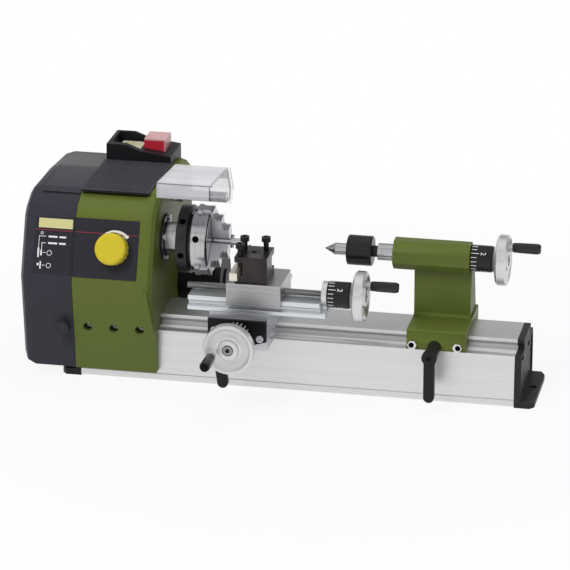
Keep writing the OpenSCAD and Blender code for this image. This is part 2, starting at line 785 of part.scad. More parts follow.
// One stepped jaw: wide foot, neck, three steps with notched outer faces, teeth at the back.
// A tooth lies in the spiral's groove when its radius follows the spiral at the jaw's angle.
module jaw(k) at_jaw(k) difference() {
    union() {
        box([slot_foot_x + 0.1, -jaw_w / 2, jaw_in], [slot_foot_x + slot_foot_t, jaw_w / 2, jaw_r]);
        box([slot_foot_x + 0.1, -neck_w / 2, jaw_in], [body_face_x + 0.2, neck_w / 2, jaw_r]);
        box([body_face_x + 0.15, -jaw_w / 2, jaw_in], [low_step_x, jaw_w / 2, jaw_r]);
        box([body_face_x + 0.15, -jaw_w / 2, jaw_in], [mid_step_x, jaw_w / 2, mid_step_r]);
        box([body_face_x + 0.15, -jaw_w / 2, jaw_in], [jaw_tip_x, jaw_w / 2, tip_step_r]);
        for (i = [0:3]) {
            r = tooth_r(k, i);
            if (r > hub_r + 1.4 && r < chuck_d / 2 - 2)
                box([ring_face_x + 0.4, -tooth_w / 2, r - tooth_t / 2],
                    [slot_foot_x + 1, tooth_w / 2, r + tooth_t / 2]);
        }
    }
    for (side = [0, 1]) mirror([0, side, 0]) translate([body_x - 5, 0, 0]) rotate([90, 0, 90])
        linear_extrude(60)
        polygon([[0, -1], [0.9, jaw_in - 0.5], [0.9, jaw_in],
            [jaw_w, jaw_in + (jaw_w - 0.9) / tan(60) + 0.1], [jaw_w, -1]]);
    for (n = [0:1]) {
        jaw_notch(mid_step_x, n, mid_step_r);
        jaw_notch(jaw_tip_x, n, tip_step_r);
    }
    jaw_notch(low_step_x, 0, jaw_r);
}
// Sharp notch across a step's outer face, counted from the step's right end
module jaw_notch(x_right, n, r) translate([x_right - 1.1 - n * notch_pitch, jaw_w, r]) to_front()
    linear_extrude(2 * jaw_w) polygon([[-notch_w / 2, eps], [0, -notch_deep], [notch_w / 2, eps]]);
// The groove's middle passes the jaw at these radii, one for each turn of the spiral
function tooth_r(k, i) = thread_in + scroll_pitch * (thread_angle(k) / 360 + i)
    + thread_t + (scroll_pitch - thread_t) / 2;
function thread_angle(k) = (180 + jaw_angle + 120 * k) % 360;

module jaw_1() color(c_steel) jaw(0);
module jaw_2() color(c_steel) jaw(1);
module jaw_3() color(c_steel) jaw(2);

module work_rod() color(c_steel) bar_x(body_x - 4, jaw_tip_x + rod_out, rod_d / 2);

guard_right = guard_x + guard_w;
// Shaft from the headstock that ends inside the guard, short of its right wall
module guard_shaft() color(c_steel)
    bar_x(head_right - 13.5, guard_right - guard_t - 0.9, guard_shaft_d / 2, guard_y, guard_z);

// Clear guard: a bent roof with a front lip and two side walls, with its hub on the left one
module chuck_guard() color([0.85, 0.9, 0.95, 0.4]) difference() {
    union() {
        difference() {
            run_x(guard_x, guard_w) guard_outline();
            run_x(guard_x + guard_t, guard_w - 2 * guard_t) difference() {
                offset(delta = -guard_t) guard_outline();
            }
            run_x(guard_x + guard_t, guard_w - 2 * guard_t) polygon([[guard_front + guard_t, axis_z + 36],
                [guard_front + guard_t, axis_z + 43.5], [37.6, axis_z + 18.6], [36, axis_z + 6]]);
        }
        bar_x(guard_x, guard_x + guard_hub_len, guard_hub_r, guard_y, guard_z);
    }
    bar_x(guard_x - 1, guard_x + guard_hub_len + 1, guard_shaft_d / 2 + run_gap, guard_y, guard_z);
}
module guard_outline() polygon(guard_pts);

// Saddle: slides on the guide, with a dovetail groove and a slot for the feed nut on top
nut_w = 9;
module rib_section(g) polygon([[-rib_w / 2 + rib_h / 2 - g, saddle_top + 5],
    [-rib_w / 2 + rib_h / 2 - g, saddle_top - 1],
    [-rib_w / 2 - g, saddle_top - rib_h - g], [rib_w / 2 + g, saddle_top - rib_h - g],
    [rib_w / 2 - rib_h / 2 + g, saddle_top - 1], [rib_w / 2 - rib_h / 2 + g, saddle_top + 5]]);

module saddle() color(c_steel) difference() {
    box([saddle_x, saddle_front, saddle_low], [saddle_right, saddle_back, saddle_top]);
    run_x(saddle_x - 1, saddle_len + 2) guide_section(slide_gap);
    translate([saddle_mid, saddle_back + 1, 0]) to_front() linear_extrude(saddle_back - saddle_front - 3)
        rib_section(slide_gap);
    box([saddle_mid - nut_w / 2 - 0.3, saddle_front + 8, guide_z],
        [saddle_mid + nut_w / 2 + 0.3, saddle_back - 5, saddle_top]);
    bar_y(saddle_front - 1, saddle_back - 2, cross_r + run_gap, saddle_mid, cross_z);
    for (p = gib_places) translate([saddle_right - 8, p[0], p[1]]) along_x() cylinder(d = 4.2, h = 12);
    for (p = gib_places) translate([saddle_right - 2, p[0], p[1]]) along_x() cylinder(d = 6, h = 12);
    for (p = plate_screws) bar_y(saddle_front - 1, saddle_front + 8, 1.55, p[0], p[1]);
    bar_y(saddle_front - 1, saddle_front + 14, 2.5 + run_gap, lever_x, lever_z);
}
gib_places = [[-41, 47], [-33, 50.5]];
plate_screws = [[saddle_x + 5, 56], [saddle_right - 4.8, 51.2]];
lever_x = saddle_x + 8.2;
lever_z = saddle_low + 4.6;

// Gib screws in the saddle's right side, and the cap screws of the bearing plate
module saddle_screws() color(c_steel) {
    for (p = gib_places) translate([saddle_right - 2, p[0], p[1]]) along_x() cap_screw(4, 5.5, 1.6, 5.4);
    for (p = plate_screws) translate([p[0], saddle_front - plate_t, p[1]]) to_front() cap_screw(3, 9, 2, 5.6);
}

// Black plate on the saddle's front that holds the cross feed screw
module cross_bearing_plate() color(c_black) difference() {
    translate([0, saddle_front, 0]) to_front() linear_extrude(plate_t)
        polygon([[saddle_x - 0.3, saddle_top], [saddle_right - 0.2, saddle_top],
            [saddle_right - 0.2, cross_z - 4.6],
                 [saddle_mid + 9, cross_z - 8.4], [saddle_mid - 6, cross_z - 8.4],
                     [lever_x + 5.2, cross_z - 3.2],
                 [saddle_x - 0.3, cross_z - 3.2]]);
    bar_y(saddle_front - 9, saddle_front + 1, cross_r + run_gap, saddle_mid, cross_z);
    for (p = plate_screws) bar_y(saddle_front - 9, saddle_front + 1, 1.55, p[0], p[1]);
}

// Clamp lever: a round boss on a screw, with an arm that hangs down and has a round end
module lever(x, z, face_y, boss_len, boss_r, arm, tilt) {
    arm_t = 5;
    bar_y(face_y - boss_len, face_y - 0.1, boss_r, x, z);
    translate([x, face_y - boss_len + arm_t, z]) rotate([0, tilt, 0]) to_front() linear_extrude(arm_t) {
        translate([-4, -arm]) square([8, arm]);
        translate([0, -arm]) circle(r = 4);
        circle(r = boss_r + 0.7);
    }
}
module socket(x, y, z, d) translate([x, y, z]) to_front() cylinder(d = d, h = 3, $fn = 6);

module saddle_clamp_lever() color(c_black) difference() {
    union() {
        lever(lever_x, lever_z, saddle_front, 10.5, 4.2, 29, -8);
        bar_y(saddle_front - 1, saddle_front + 13, 2.5, lever_x, lever_z);
    }
    socket(lever_x, saddle_front - 8.5, lever_z, 3.5);
}

// Cross slide: a plate on a dovetail rib, with the feed nut below it
nut_y = 12;
module cross_slide() color(c_steel) difference() {
    union() {
        box([saddle_x, saddle_front + 2, cross_low], [saddle_right, saddle_back + 4, cross_top]);
        translate([saddle_mid, rib_back, 0]) to_front() linear_extrude(rib_back - rib_front)
            intersection() {
                rib_section(0);
                translate([-30, 0]) square([60, cross_low + 0.5]);
            }
        box([saddle_mid - nut_w / 2, -nut_y, cross_z - cross_r - 0.9],
            [saddle_mid + nut_w / 2, nut_y, cross_low]);
    }
    bar_y(-nut_y - 1, nut_y + 1, cross_r + run_gap, saddle_mid, cross_z);
}

// Extruded rail: foot, waist and head, with the head cut back for the screw bearing
module slide_rail() color(c_alu) {
    run_x(rail_x, rail_len) translate([rail_y, 0]) polygon([[-foot_w / 2, cross_top],
        [-foot_w / 2, cross_top + rail_foot_h - 0.8],
        [-foot_w / 2 + 1.5, cross_top + rail_foot_h], [foot_w / 2 - 1.5, cross_top + rail_foot_h],
        [foot_w / 2, cross_top + rail_foot_h - 0.8], [foot_w / 2, cross_top]]);
    run_x(rail_x, head_end_x - rail_x) translate([rail_y, 0]) polygon(rail_head(0));
}
function rail_head(g) = [[-rail_waist_w / 2 - g, cross_top + rail_foot_h - eps],
    [-rail_waist_w / 2 - g, rail_head_low],
    [-rail_head_w / 2 - g, rail_head_low + 1.6], [-rail_head_w / 2 - g, rail_top + g],
        [rail_head_w / 2 + g, rail_top + g],
    [rail_head_w / 2 + g, rail_head_low + 1.6], [rail_waist_w / 2 + g, rail_head_low],
        [rail_waist_w / 2 + g, cross_top + rail_foot_h - eps]];

index_x = head_end_x;
module top_screw_bearing() color(c_alu) difference() {
    union() {
        bar_x(index_x, index_x + index_t, dial_d / 2 - 0.1, rail_y, top_screw_z);
        box([index_x, rail_y - 7, cross_top + rail_foot_h], [index_x + index_t, rail_y + 7, top_screw_z - 4]);
    }
    bar_x(index_x - 1, index_x + index_t + 1, cross_r + run_gap, rail_y, top_screw_z);
}

// Graduated dial along Z from 0 to h, with chamfered ends
module dial_shape(h, bore) rotate_extrude() polygon([[bore, 0], [dial_d / 2 - 0.6, 0], [dial_d / 2, 0.6],
    [dial_d / 2, h - 1], [dial_d / 2 - 1, h], [bore, h]]);

// Dished handwheel along Z, with its hub screw and the pin for the handle
module handwheel_shape(a) {
    r = wheel_d / 2;
    difference() {
        union() {
            rotate_extrude() polygon([[0, 0], [9.4, 0], [11, 1.6], [r - 1.6, 2.6], [r, 4.2],
                [r, wheel_t - 1.2],
                [r - 0.9, wheel_t], [r - 2.2, wheel_t], [r - 4, wheel_t - 1.6], [9.6, wheel_t - 3],
                    [8, wheel_t - 2.2], [7.4, wheel_t], [0, wheel_t]]);
            rotate([0, 0, a]) translate([handle_offset, 0, 1]) {
                cylinder(r = 3.4, h = wheel_t);
                cylinder(r = pin_r, h = wheel_t + handle_len);
                translate([0, 0, wheel_t + handle_len - 2.2]) cylinder(r = pin_r + 0.9, h = 1.4);
            }
        }
        translate([0, 0, wheel_t - 2]) cylinder(r = 4.2, h = 4);
        translate([0, 0, -1]) cylinder(r = wheel_bore, h = wheel_t - 2);
    }
    translate([0, 0, wheel_t - 2]) difference() {
        cylinder(r = 3.5, h = 2.4);
        translate([0, 0, 1]) cylinder(r = 1.7, h = 3, $fn = 6);
    }
}
wheel_bore = cross_r + eps;
pin_r = 2;

// Handle that turns on its pin, along Z from 0
module handle_shape() difference() {
    r = handle_d / 2;
    rotate_extrude() polygon([[0, 0], [r - 0.8, 0], [r - 0.3, 0.6], [r - 0.1, handle_len * 0.3],
        [r, handle_len * 0.7],
        [r, handle_len - 2.4], [r - 0.5, handle_len - 0.9], [r - 1.4, handle_len], [0, handle_len]]);
    translate([0, 0, -1]) cylinder(r = pin_r + run_gap, h = handle_len + 2);
    translate([0, 0, handle_len - 2.4]) cylinder(r = pin_r + 1, h = 4);
}
handle_z = wheel_t + 1 + 0.2;

// Cross feed: fixed index ring on the plate, then dial, wheel and handle towards the operator
cross_dial_y = saddle_front - plate_t - 0.3;
cross_handle_a = 205;
module at_cross(d) translate([saddle_mid, cross_dial_y - d, cross_z]) to_front() children();
module cross_leadscrew() color(c_steel) bar_y(cross_dial_y - dial_len - 6, saddle_back - 4, cross_r,
    saddle_mid, cross_z);
module cross_dial() color(c_black) at_cross(0) dial_shape(dial_len - 0.1, wheel_bore);
cross_wheel_y = dial_len + 3.6;
module cross_handwheel() color(c_alu) at_cross(dial_len) {
    translate([0, 0, 3.6]) handwheel_shape(cross_handle_a);
    difference() {
        cylinder(r = dial_d / 2 - 1, h = 3.7);
        translate([0, 0, -1]) cylinder(r = wheel_bore, h = 9);
    }
}
module cross_handle() color(c_black) at_cross(cross_wheel_y) rotate([0, 0, cross_handle_a])
    translate([handle_offset, 0, handle_z]) handle_shape();

// Top slide block on the rail
module top_slide() color(c_steel) difference() {
    box([block_x, block_front, block_low], [block_x + block_len, block_back, block_top]);
    run_x(block_x - 1, block_len + 2) translate([rail_y, 0]) polygon(rail_head(slide_gap));
    bar_x(block_x - 1, block_x + block_len + 1, cross_r + run_gap, rail_y, top_screw_z);
    translate([post_cx, post_cy, bolt_low]) cylinder(r = bolt_r + eps, h = 20);
}
post_cx = post_x + post_w / 2;
post_cy = post_y + post_depth / 2;
bolt_r = 3;
bolt_low = (block_top + top_screw_z + cross_r) / 2;

top_dial_x = index_x + index_t + 0.3;
top_dial_len = 16.8;
top_handle_a = 105;
module at_top(d) translate([top_dial_x + d, rail_y, top_screw_z]) along_x() children();
module top_leadscrew() color(c_steel) bar_x(rail_x - 3, top_dial_x + top_dial_len + 5, cross_r, rail_y,
    top_screw_z);
module top_dial() color(c_black) at_top(0) dial_shape(top_dial_len - 0.1, wheel_bore);
module top_handwheel() color(c_alu) at_top(top_dial_len) handwheel_shape(top_handle_a);
module top_handle() color(c_black) at_top(top_dial_len) rotate([0, 0, top_handle_a])
    translate([handle_offset, 0, handle_z]) handle_shape();

// Toolpost with a tool slot along its left side and one along its back
slot_h = 9.8;
side_slot = tool_side - tool_out + 1;
back_slot = 9;
post_low = block_top + 0.1;
post_top = post_low + post_h;
sink_deep = 3.4;
module toolpost() color(c_dark) difference() {
    box([post_x, post_y, post_low], [post_x + post_w, post_y + post_depth, post_top]);
    box([post_x - 1, post_y - 1, tool_z - 0.1], [post_x + side_slot, post_y + post_depth + 1,
        tool_z + slot_h]);
    box([post_x - 1, post_y + post_depth - back_slot, tool_z - 0.1],
        [post_x + post_w + 1, post_y + post_depth + 1, tool_z + slot_h]);
    translate([post_cx, post_cy, post_low - 1]) cylinder(r = bolt_r + run_gap, h = post_h + 2);
    translate([post_cx, post_cy, post_top - sink_deep]) cylinder(r = bolt_head_r + 0.6, h = 9);
    for (p = clamp_places) translate([p[0], p[1], tool_z + slot_h - 1])
        cylinder(d = tool_screw_d + 0.1, h = 20);
}
tool_screw_d = 4;
clamp_places = [[post_x + 3.7, post_y + 3.5], [post_x + 3.7, post_y + post_depth - 6.6],
                [post_x + post_w - 5, post_y + post_depth - 5.1]];

// Cap screw the toolpost turns on, sunk in its top
bolt_head_r = 4.2;
module toolpost_bolt() color(c_dark) translate([post_cx, post_cy, 0]) difference() {
    union() {
        translate([0, 0, bolt_low]) cylinder(r = bolt_r, h = post_h + block_top - bolt_low - 2);
        translate([0, 0, post_top - sink_deep + 0.2]) cylinder(r = bolt_head_r, h = sink_deep - 0.3);
    }
    translate([0, 0, post_top - 1.9]) cylinder(r = 2.3, h = 9, $fn = 6);
}

// Two screws press on the tool, the third stands over the back slot
tool_screw_top = post_top + 9.5;
tool_screw_head = 3.5;
module tool_clamp_screws() color(c_dark) for (i = [0:2]) {
    tip = i < 2 ? tool_z + tool_side + 0.05 : tool_z + slot_h;
    seat = tool_screw_top - tool_screw_head;
    translate([clamp_places[i][0], clamp_places[i][1], seat])
        cap_screw(tool_screw_d, seat - tip, tool_screw_head, 6.8);
}

// Square tool with a ground tip at centre height
module turning_tool() color(c_steel) difference() {
    box([tool_x, tool_tip_y - tool_len, tool_z], [tool_x + tool_side, tool_tip_y, tool_z + tool_side]);
    translate([tool_x, tool_tip_y, tool_z - 1]) linear_extrude(tool_side + 2)
        polygon([[-1, 1], [-1, -5], [0, -4], [2.4, 0], [2.4, 1]]);
    translate([tool_x + tool_side, tool_tip_y, tool_z - 1]) linear_extrude(tool_side + 2)
        polygon([[1, 1], [1, -16], [0, -14], [-3.2, 0], [-3.2, 1]]);
    translate([tool_x - 1, tool_tip_y, tool_z]) rotate([0, 90, 0]) linear_extrude(tool_side + 2)
        polygon([[1, 1], [1, -2], [0, -1.4], [-tool_side + 0.4, 0], [-tool_side + 0.4, 1]]);
}

// Tailstock: base on the guide, a column set back from the front, and an eight-sided barrel
module tailstock_body() color(c_green) difference() {
    union() {
        box([tail_x, tail_front, saddle_low], [tail_right, -tail_front, tail_base_top - 3]);
        run_x(tail_x, tail_len) polygon([[tail_front, guide_z], [tail_front, tail_base_top - 1.5],
            [tail_front + 1.5, tail_base_top], [-tail_front - 1.5, tail_base_top],
                [-tail_front, tail_base_top - 1.5],
            [-tail_front, guide_z]]);
        run_x(tail_x, barrel_right - tail_x) polygon([[column_front - 2, tail_base_top - 1],
            [column_front - 2, tail_base_top], [column_front, tail_base_top + 2], [column_front, axis_z - 10],
            [0, axis_z], [10, axis_z + 4], [17, axis_z - 6], [22, axis_z - 26], [27, tail_base_top + 2],
            [29, tail_base_top - 1]]);
        translate([barrel_left, 0, axis_z]) along_x() rotate([0, 0, 22.5])
            cylinder(d = barrel_af / cos(22.5), h = barrel_right - barrel_left, $fn = 8);
    }
    run_x(tail_x - 1, tail_len + 2) guide_section(slide_gap);
    bar_x(barrel_left - 1, tail_right - 8, quill_r + run_gap);
    bar_x(barrel_left, tail_right + 3, cross_r + run_gap);
    for (x = nut_x) bar_y(tail_front - 1, -guide_y, 2.6, x, nut_z);
    bar_y(tail_front - 1, -guide_y - 1, 2.5 + run_gap, tail_lever_x, tail_lever_z);
}
nut_x = [tail_x + 4.6, tail_right - 5.6];
nut_z = box_z + 4.4;
nut_d = 7.2;
tail_lever_x = tail_x + 21;
tail_lever_z = box_z + 3.2;

// Hex lock nuts with set screws that adjust the tailstock's fit on the guide
module tailstock_nuts() color(c_alu) for (x = nut_x) {
    difference() {
        translate([x, tail_front, nut_z]) to_front() cylinder(d = nut_d, h = 3.2, $fn = 6);
        bar_y(tail_front - 9, tail_front + 1, 2.5 + eps, x, nut_z);
    }
    difference() {
        bar_y(tail_front - 3, -guide_y - 0.05, 2.5, x, nut_z);
        socket(x, tail_front - 1.4, nut_z, 2.6);
    }
}

tail_boss = 25;
module tailstock_clamp_lever() color(c_black) difference() {
    union() {
        lever(tail_lever_x, tail_lever_z, tail_front, tail_boss, 5, 31, 0);
        bar_y(tail_front - 1, -guide_y - 2, 2.5, tail_lever_x, tail_lever_z);
    }
    socket(tail_lever_x, tail_front - tail_boss + 2, tail_lever_z, 4.2);
}

// Quill with a socket for the live centre's shank in front and the feed nut's bore behind
neck_len = 4;
neck_r = 4.3;
shank_len = 5;
quill_len = 46;
module quill() color(c_alu) difference() {
    bar_x(quill_left, quill_left + quill_len, quill_r);
    bar_x(quill_left - 1, quill_left + shank_len + eps, neck_r + eps);
    bar_x(quill_left + shank_len + 1, quill_left + quill_len + 1, cross_r + run_gap);
}

centre_len = 19;
centre_x = quill_left - neck_len - centre_len;
module live_centre_body() color(c_dark) difference() {
    translate([centre_x, 0, axis_z]) along_x() rotate_extrude() polygon([[0, 0], [centre_d / 2 - 0.9, 0],
        [centre_d / 2, 0.9], [centre_d / 2, centre_len - 0.8], [centre_d / 2 - 0.8, centre_len],
            [neck_r, centre_len],
        [neck_r, centre_len + neck_len + shank_len], [0, centre_len + neck_len + shank_len]]);
    bar_x(centre_x - 1, centre_x + 12, 4 + run_gap);
}

// Point that turns in the live centre: shank, collar and 60 degree cone
cone_len = 8.2;
collar_len = 9.2;
module centre_tip() color(c_steel) {
    bar_x(centre_x - collar_len, centre_x + 11.5, 4);
    bar_x(centre_x - collar_len, centre_x - 0.3, 4.5);
    translate([centre_x - collar_len - cone_len, 0, axis_z]) along_x()
        cylinder(r1 = 0.15, r2 = 4.9, h = cone_len + eps);
}

tail_dial_x = barrel_right + 0.3;
tail_dial_len = 16.6;
tail_handle_a = 114;
module at_tail(d) translate([tail_dial_x + d, 0, axis_z]) along_x() children();
module tail_leadscrew() color(c_steel) bar_x(quill_left + 18, tail_dial_x + tail_dial_len + 4.8, cross_r);
module tail_dial() color(c_black) at_tail(0) dial_shape(tail_dial_len - 0.1, wheel_bore);
module tail_handwheel() color(c_alu) at_tail(tail_dial_len) handwheel_shape(tail_handle_a);
module tail_handle() color(c_black) at_tail(tail_dial_len) rotate([0, 0, tail_handle_a])
    translate([handle_offset, 0, handle_z]) handle_shape();

bed_extrusion();
left_end_foot();
right_end_foot();
end_foot_screws();
headstock_housing();
headstock_screws();
control_panel_plate();
tool_tray_mat();
switch_housing();
on_button();
off_button();
speed_knob();
speed_potentiometer();
belt_cover();
cover_knob();
motor_body();
motor_pulley();
drive_belt();
spindle_bearings();
bearing_flange();
spindle();
spindle_pulley();
chuck_body();
scroll_ring();
jaw_1();
jaw_2();
jaw_3();
work_rod();
guard_shaft();
chuck_guard();
saddle();
saddle_screws();
cross_bearing_plate();
saddle_clamp_lever();
cross_slide();
slide_rail();
top_screw_bearing();
cross_leadscrew();
cross_dial();
cross_handwheel();
cross_handle();
top_slide();
top_leadscrew();
top_dial();
top_handwheel();
top_handle();
toolpost();
toolpost_bolt();
tool_clamp_screws();
turning_tool();
tailstock_body();
tailstock_nuts();
tailstock_clamp_lever();
quill();
live_centre_body();
centre_tip();
tail_leadscrew();
tail_dial();
tail_handwheel();
tail_handle();
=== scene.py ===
"""Small precision bench lathe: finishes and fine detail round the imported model."""

import json
import math

import bmesh
import bpy
from bpy.props import FloatProperty, FloatVectorProperty, IntProperty, PointerProperty
from mathutils import Matrix, Vector

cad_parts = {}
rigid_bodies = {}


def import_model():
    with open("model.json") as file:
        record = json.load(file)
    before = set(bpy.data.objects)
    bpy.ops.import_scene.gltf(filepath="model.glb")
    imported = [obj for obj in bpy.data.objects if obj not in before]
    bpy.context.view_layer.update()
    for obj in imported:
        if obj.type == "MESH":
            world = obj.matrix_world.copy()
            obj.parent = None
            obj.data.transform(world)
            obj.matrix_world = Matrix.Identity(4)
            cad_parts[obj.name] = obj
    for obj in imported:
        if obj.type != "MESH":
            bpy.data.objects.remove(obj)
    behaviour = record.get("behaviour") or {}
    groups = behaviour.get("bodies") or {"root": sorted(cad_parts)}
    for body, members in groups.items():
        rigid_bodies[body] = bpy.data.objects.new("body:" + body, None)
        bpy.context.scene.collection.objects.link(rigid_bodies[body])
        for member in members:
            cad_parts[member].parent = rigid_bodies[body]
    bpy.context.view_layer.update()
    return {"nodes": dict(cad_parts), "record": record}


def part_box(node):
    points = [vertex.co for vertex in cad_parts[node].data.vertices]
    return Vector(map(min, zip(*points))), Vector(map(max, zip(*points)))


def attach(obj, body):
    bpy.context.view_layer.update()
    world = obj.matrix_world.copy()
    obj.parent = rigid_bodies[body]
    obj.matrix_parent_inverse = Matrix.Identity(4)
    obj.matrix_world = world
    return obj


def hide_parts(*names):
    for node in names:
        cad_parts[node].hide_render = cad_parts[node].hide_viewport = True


bl_info = {
    "name": "Bench Lathe",
    "version": (1, 0, 0),
    "blender": (4, 5, 0),
    "location": "View3D > Sidebar > Lathe",
    "description": "Finishes, dials, labels, threads and edge rounding for a small precision lathe",
    "category": "Object",
}

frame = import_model()

MM = 0.001
BODIES = frame["record"]["behaviour"]["bodies"]
BODY_OF = {node: body for body, nodes in BODIES.items() for node in nodes}
SLOT_OF = {part["node"]: part["material_slot"] for part in frame["record"]["subparts"]}
finishes = {}


def middle(node):
    """Middle of a CAD node's box."""
    low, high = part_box(node)
    return (Vector(low) + Vector(high)) / 2


SPINDLE = (middle("scroll_ring").y, middle("scroll_ring").z)
TOP_SCREW = (middle("top_dial").y, middle("top_dial").z)
CROSS_SCREW = (middle("cross_dial").x, middle("cross_dial").z)

# Handwheels, nuts and chuck
HUB_SCREW = 4.2 * MM
HUB_SOCKET = 1.7 * MM
PIN_HEAD = 6 * MM
NUT_SOCKET = 2.1 * MM
CHUCK_SKIN = 0.5 * MM
CHUCK_FACE = 0.4 * MM
SHAFT_SHADE = 0.4 * MM

# Ribbed mat, and the ribbed rest of the belt cover, the painted shade of the groove at its front and the
# painted highlight on the crown behind it
RIB_PITCH = 1.3 * MM
RIB_HEIGHT = 0.14 * MM
EDGE_LINE = 0.9 * MM
REST_FRONT = -13 * MM
REST_BACK = 44 * MM
REST_FROM_LEFT = 12 * MM
REST_BELOW_TOP = 34 * MM
CROWN_HEIGHT = 5 * MM
CROWN_BLEND = 2 * MM

# Guard: where its walls carry a painted reflection, and where its painted edge lines run
FRONT_WALL = 5 * MM
TOP_WALL = 16 * MM
CLEAR_END = 2.2 * MM
END_LINE = (2.9 * MM, 2.1 * MM)
CORNER_LINE = 1.3 * MM
END_FACE = 0.5 * MM
BACK_EDGE_AT = (30 * MM, 151.9 * MM)
BACK_EDGE_OUT = (0.864, 0.504)
RIM_WIDTH = 2.2 * MM

# Helper meshes
MERGE = 1e-6
FLAT = math.radians(0.6)
CORNER = math.radians(28)
BEVEL_STEPS = 2
THREAD_CORNER = math.radians(60)

# Dials: the ring of marks starts off the dial's edge, and the digits stand a little proud
MARK_START = 0.7 * MM
DIGIT_LIFT = 0.02 * MM
DIGIT_THICKNESS = 0.04 * MM
TEXT_SIZE_PER_HEIGHT = 1.4


def display(colour):
    """Linear light of a colour that is written as it shows on a screen."""
    return [c / 12.92 if c <= 0.04045 else ((c + 0.055) / 1.055) ** 2.4 for c in colour]


class Value:
    """A socket of a node tree that can stand in a sum."""

    def __init__(self, maker, socket):
        self.maker = maker
        self.socket = socket

    def __add__(self, other):
        return self.maker.maths("ADD", self, other)

    __radd__ = __add__

    def __sub__(self, other):
        return self.maker.maths("SUBTRACT", self, other)

    def __rsub__(self, other):
        return self.maker.maths("SUBTRACT", other, self)

    def __mul__(self, other):
        return self.maker.maths("MULTIPLY", self, other)

    __rmul__ = __mul__

    def __truediv__(self, other):
        return self.maker.maths("DIVIDE", self, other)

    def __mod__(self, other):
        return self.maker.maths("FLOORED_MODULO", self, other)

    def __pow__(self, other):
        return self.maker.maths("POWER", self, other)

    def __gt__(self, other):
        return self.maker.maths("GREATER_THAN", self, other)

    def __lt__(self, other):
        return self.maker.maths("LESS_THAN", self, other)

    def __abs__(self):
        return self.maker.maths("ABSOLUTE", self)


class Maker:
    """Adds nodes to a shader or geometry tree and joins them."""

    def __init__(self, tree):
        self.tree = tree

    def node(self, kind, settings=None, inputs=None):
        """One node of a type, with its settings first and then the values or links of its sockets."""
        made = self.tree.nodes.new(kind)
        for key, value in (settings or {}).items():
            if key == "stops":
                self.set_stops(made.color_ramp.elements, value)
            else:
                setattr(made, key, value)
        for key, value in (inputs or {}).items():
            self.feed(made, key, value)
        return made

    def set_stops(self, elements, stops):
        """Greys at places from 0 to 1 of a ramp."""
        for place, shade in stops[1:-1]:
            elements.new(place)
        for element, (place, shade) in zip(elements, stops):
            element.color = (shade, shade, shade, 1)

    def feed(self, node, key, value):
        """Sets a socket to a number or colour, or links a value to it."""
        if isinstance(value, Value):
            value = value.socket
        if isinstance(value, bpy.types.NodeSocket):
            self.tree.links.new(value, node.inputs[key])
        else:
            node.inputs[key].default_value = value

    def value(self, kind, settings=None, inputs=None, output=0):
        """One output of a new node."""
        return Value(self, self.node(kind, settings, inputs).outputs[output])

    def maths(self, operation, *terms):
        """One Math node."""
        return self.value("ShaderNodeMath", {"operation": operation}, dict(enumerate(terms)))

    def vector(self, x, y, z):
        """Three values as one vector."""
        return self.value("ShaderNodeCombineXYZ", None, {0: x, 1: y, 2: z})

    def highest(self, first, *others):
        """The largest of some values."""
        for other in others:
            first = self.maths("MAXIMUM", first, other)
        return first

    def held(self, value):
        """A value kept from 0 to 1."""
        return self.maths("MINIMUM", self.highest(value, 0.0), 1.0)


class Finish(Maker):
    """A material: a Principled shader with patterns in the piece's own metres."""

    def __init__(self, name, colour, roughness, metallic=0.0, **sockets):
        self.material = bpy.data.materials.new(name)
        self.material.use_nodes = True
        super().__init__(self.material.node_tree)
        self.tree.nodes.clear()
        self.base = [*display(colour), 1]
        inputs = {"Base Color": self.base, "Roughness": roughness, "Metallic": metallic, **sockets}
        self.shader = self.node("ShaderNodeBsdfPrincipled", None, inputs)
        self.node("ShaderNodeOutputMaterial", None, {"Surface": self.shader.outputs[0]})
        self.place = self.value("ShaderNodeTexCoord", output=3)
        parts = self.node("ShaderNodeSeparateXYZ", None, {0: self.place})
        self.x, self.y, self.z = (Value(self, socket) for socket in parts.outputs)
        self.heights = []
        finishes[name] = self.material

    def noise(self, scale, detail=2.0, place=None, roughness=0.5):
        """Noise from 0 to 1, with scale in cycles a metre, one number or one for each axis."""
        scale = scale if isinstance(scale, (tuple, list)) else (scale, scale, scale)
        place = self.value("ShaderNodeMapping", None, {"Vector": place or self.place, "Scale": scale})
        sockets = {"Vector": place, "Scale": 1.0, "Detail": detail, "Roughness": roughness}
        return self.value("ShaderNodeTexNoise", None, sockets)

    def span(self, value, low, high):
        """A value from 0 to 1 spread from low to high."""
        return value * (high - low) + low

    def shade(self, share, colour):
        """Lays a colour over the base colour by a share from 0 to 1."""
        sockets = {0: share, 6: self.base, 7: [*display(colour), 1]}
        self.base = self.value("ShaderNodeMix", {"data_type": "RGBA"}, sockets, 2)
        self.feed(self.shader, "Base Color", self.base)

    def rough(self, value):
        """Roughness that changes over the surface."""
        self.feed(self.shader, "Roughness", value)

    def raise_by(self, height, distance):
        """Adds relief: a height from 0 to 1 times a distance in metres."""
        self.heights.append(height * (distance / MM))

    def relief(self, strength):
        """Feeds the heights that were raised to the normal."""
        total = self.heights[0]
        for height in self.heights[1:]:
            total = total + height
        sockets = {"Height": total, "Distance": MM, "Strength": strength}
        self.feed(self.shader, "Normal", self.value("ShaderNodeBump", None, sockets))

    def between(self, value, low, high):
        """1 from low to high, and 0 outside."""
        return (value > low) * (value < high)

    def radius(self, axis, centre):
        """Distance from an axis along X or Y through a centre."""
        across = (self.y, self.z) if axis == "X" else (self.x, self.z)
        squares = [(part - c) * (part - c) for part, c in zip(across, centre)]
        return (squares[0] + squares[1]) ** 0.5


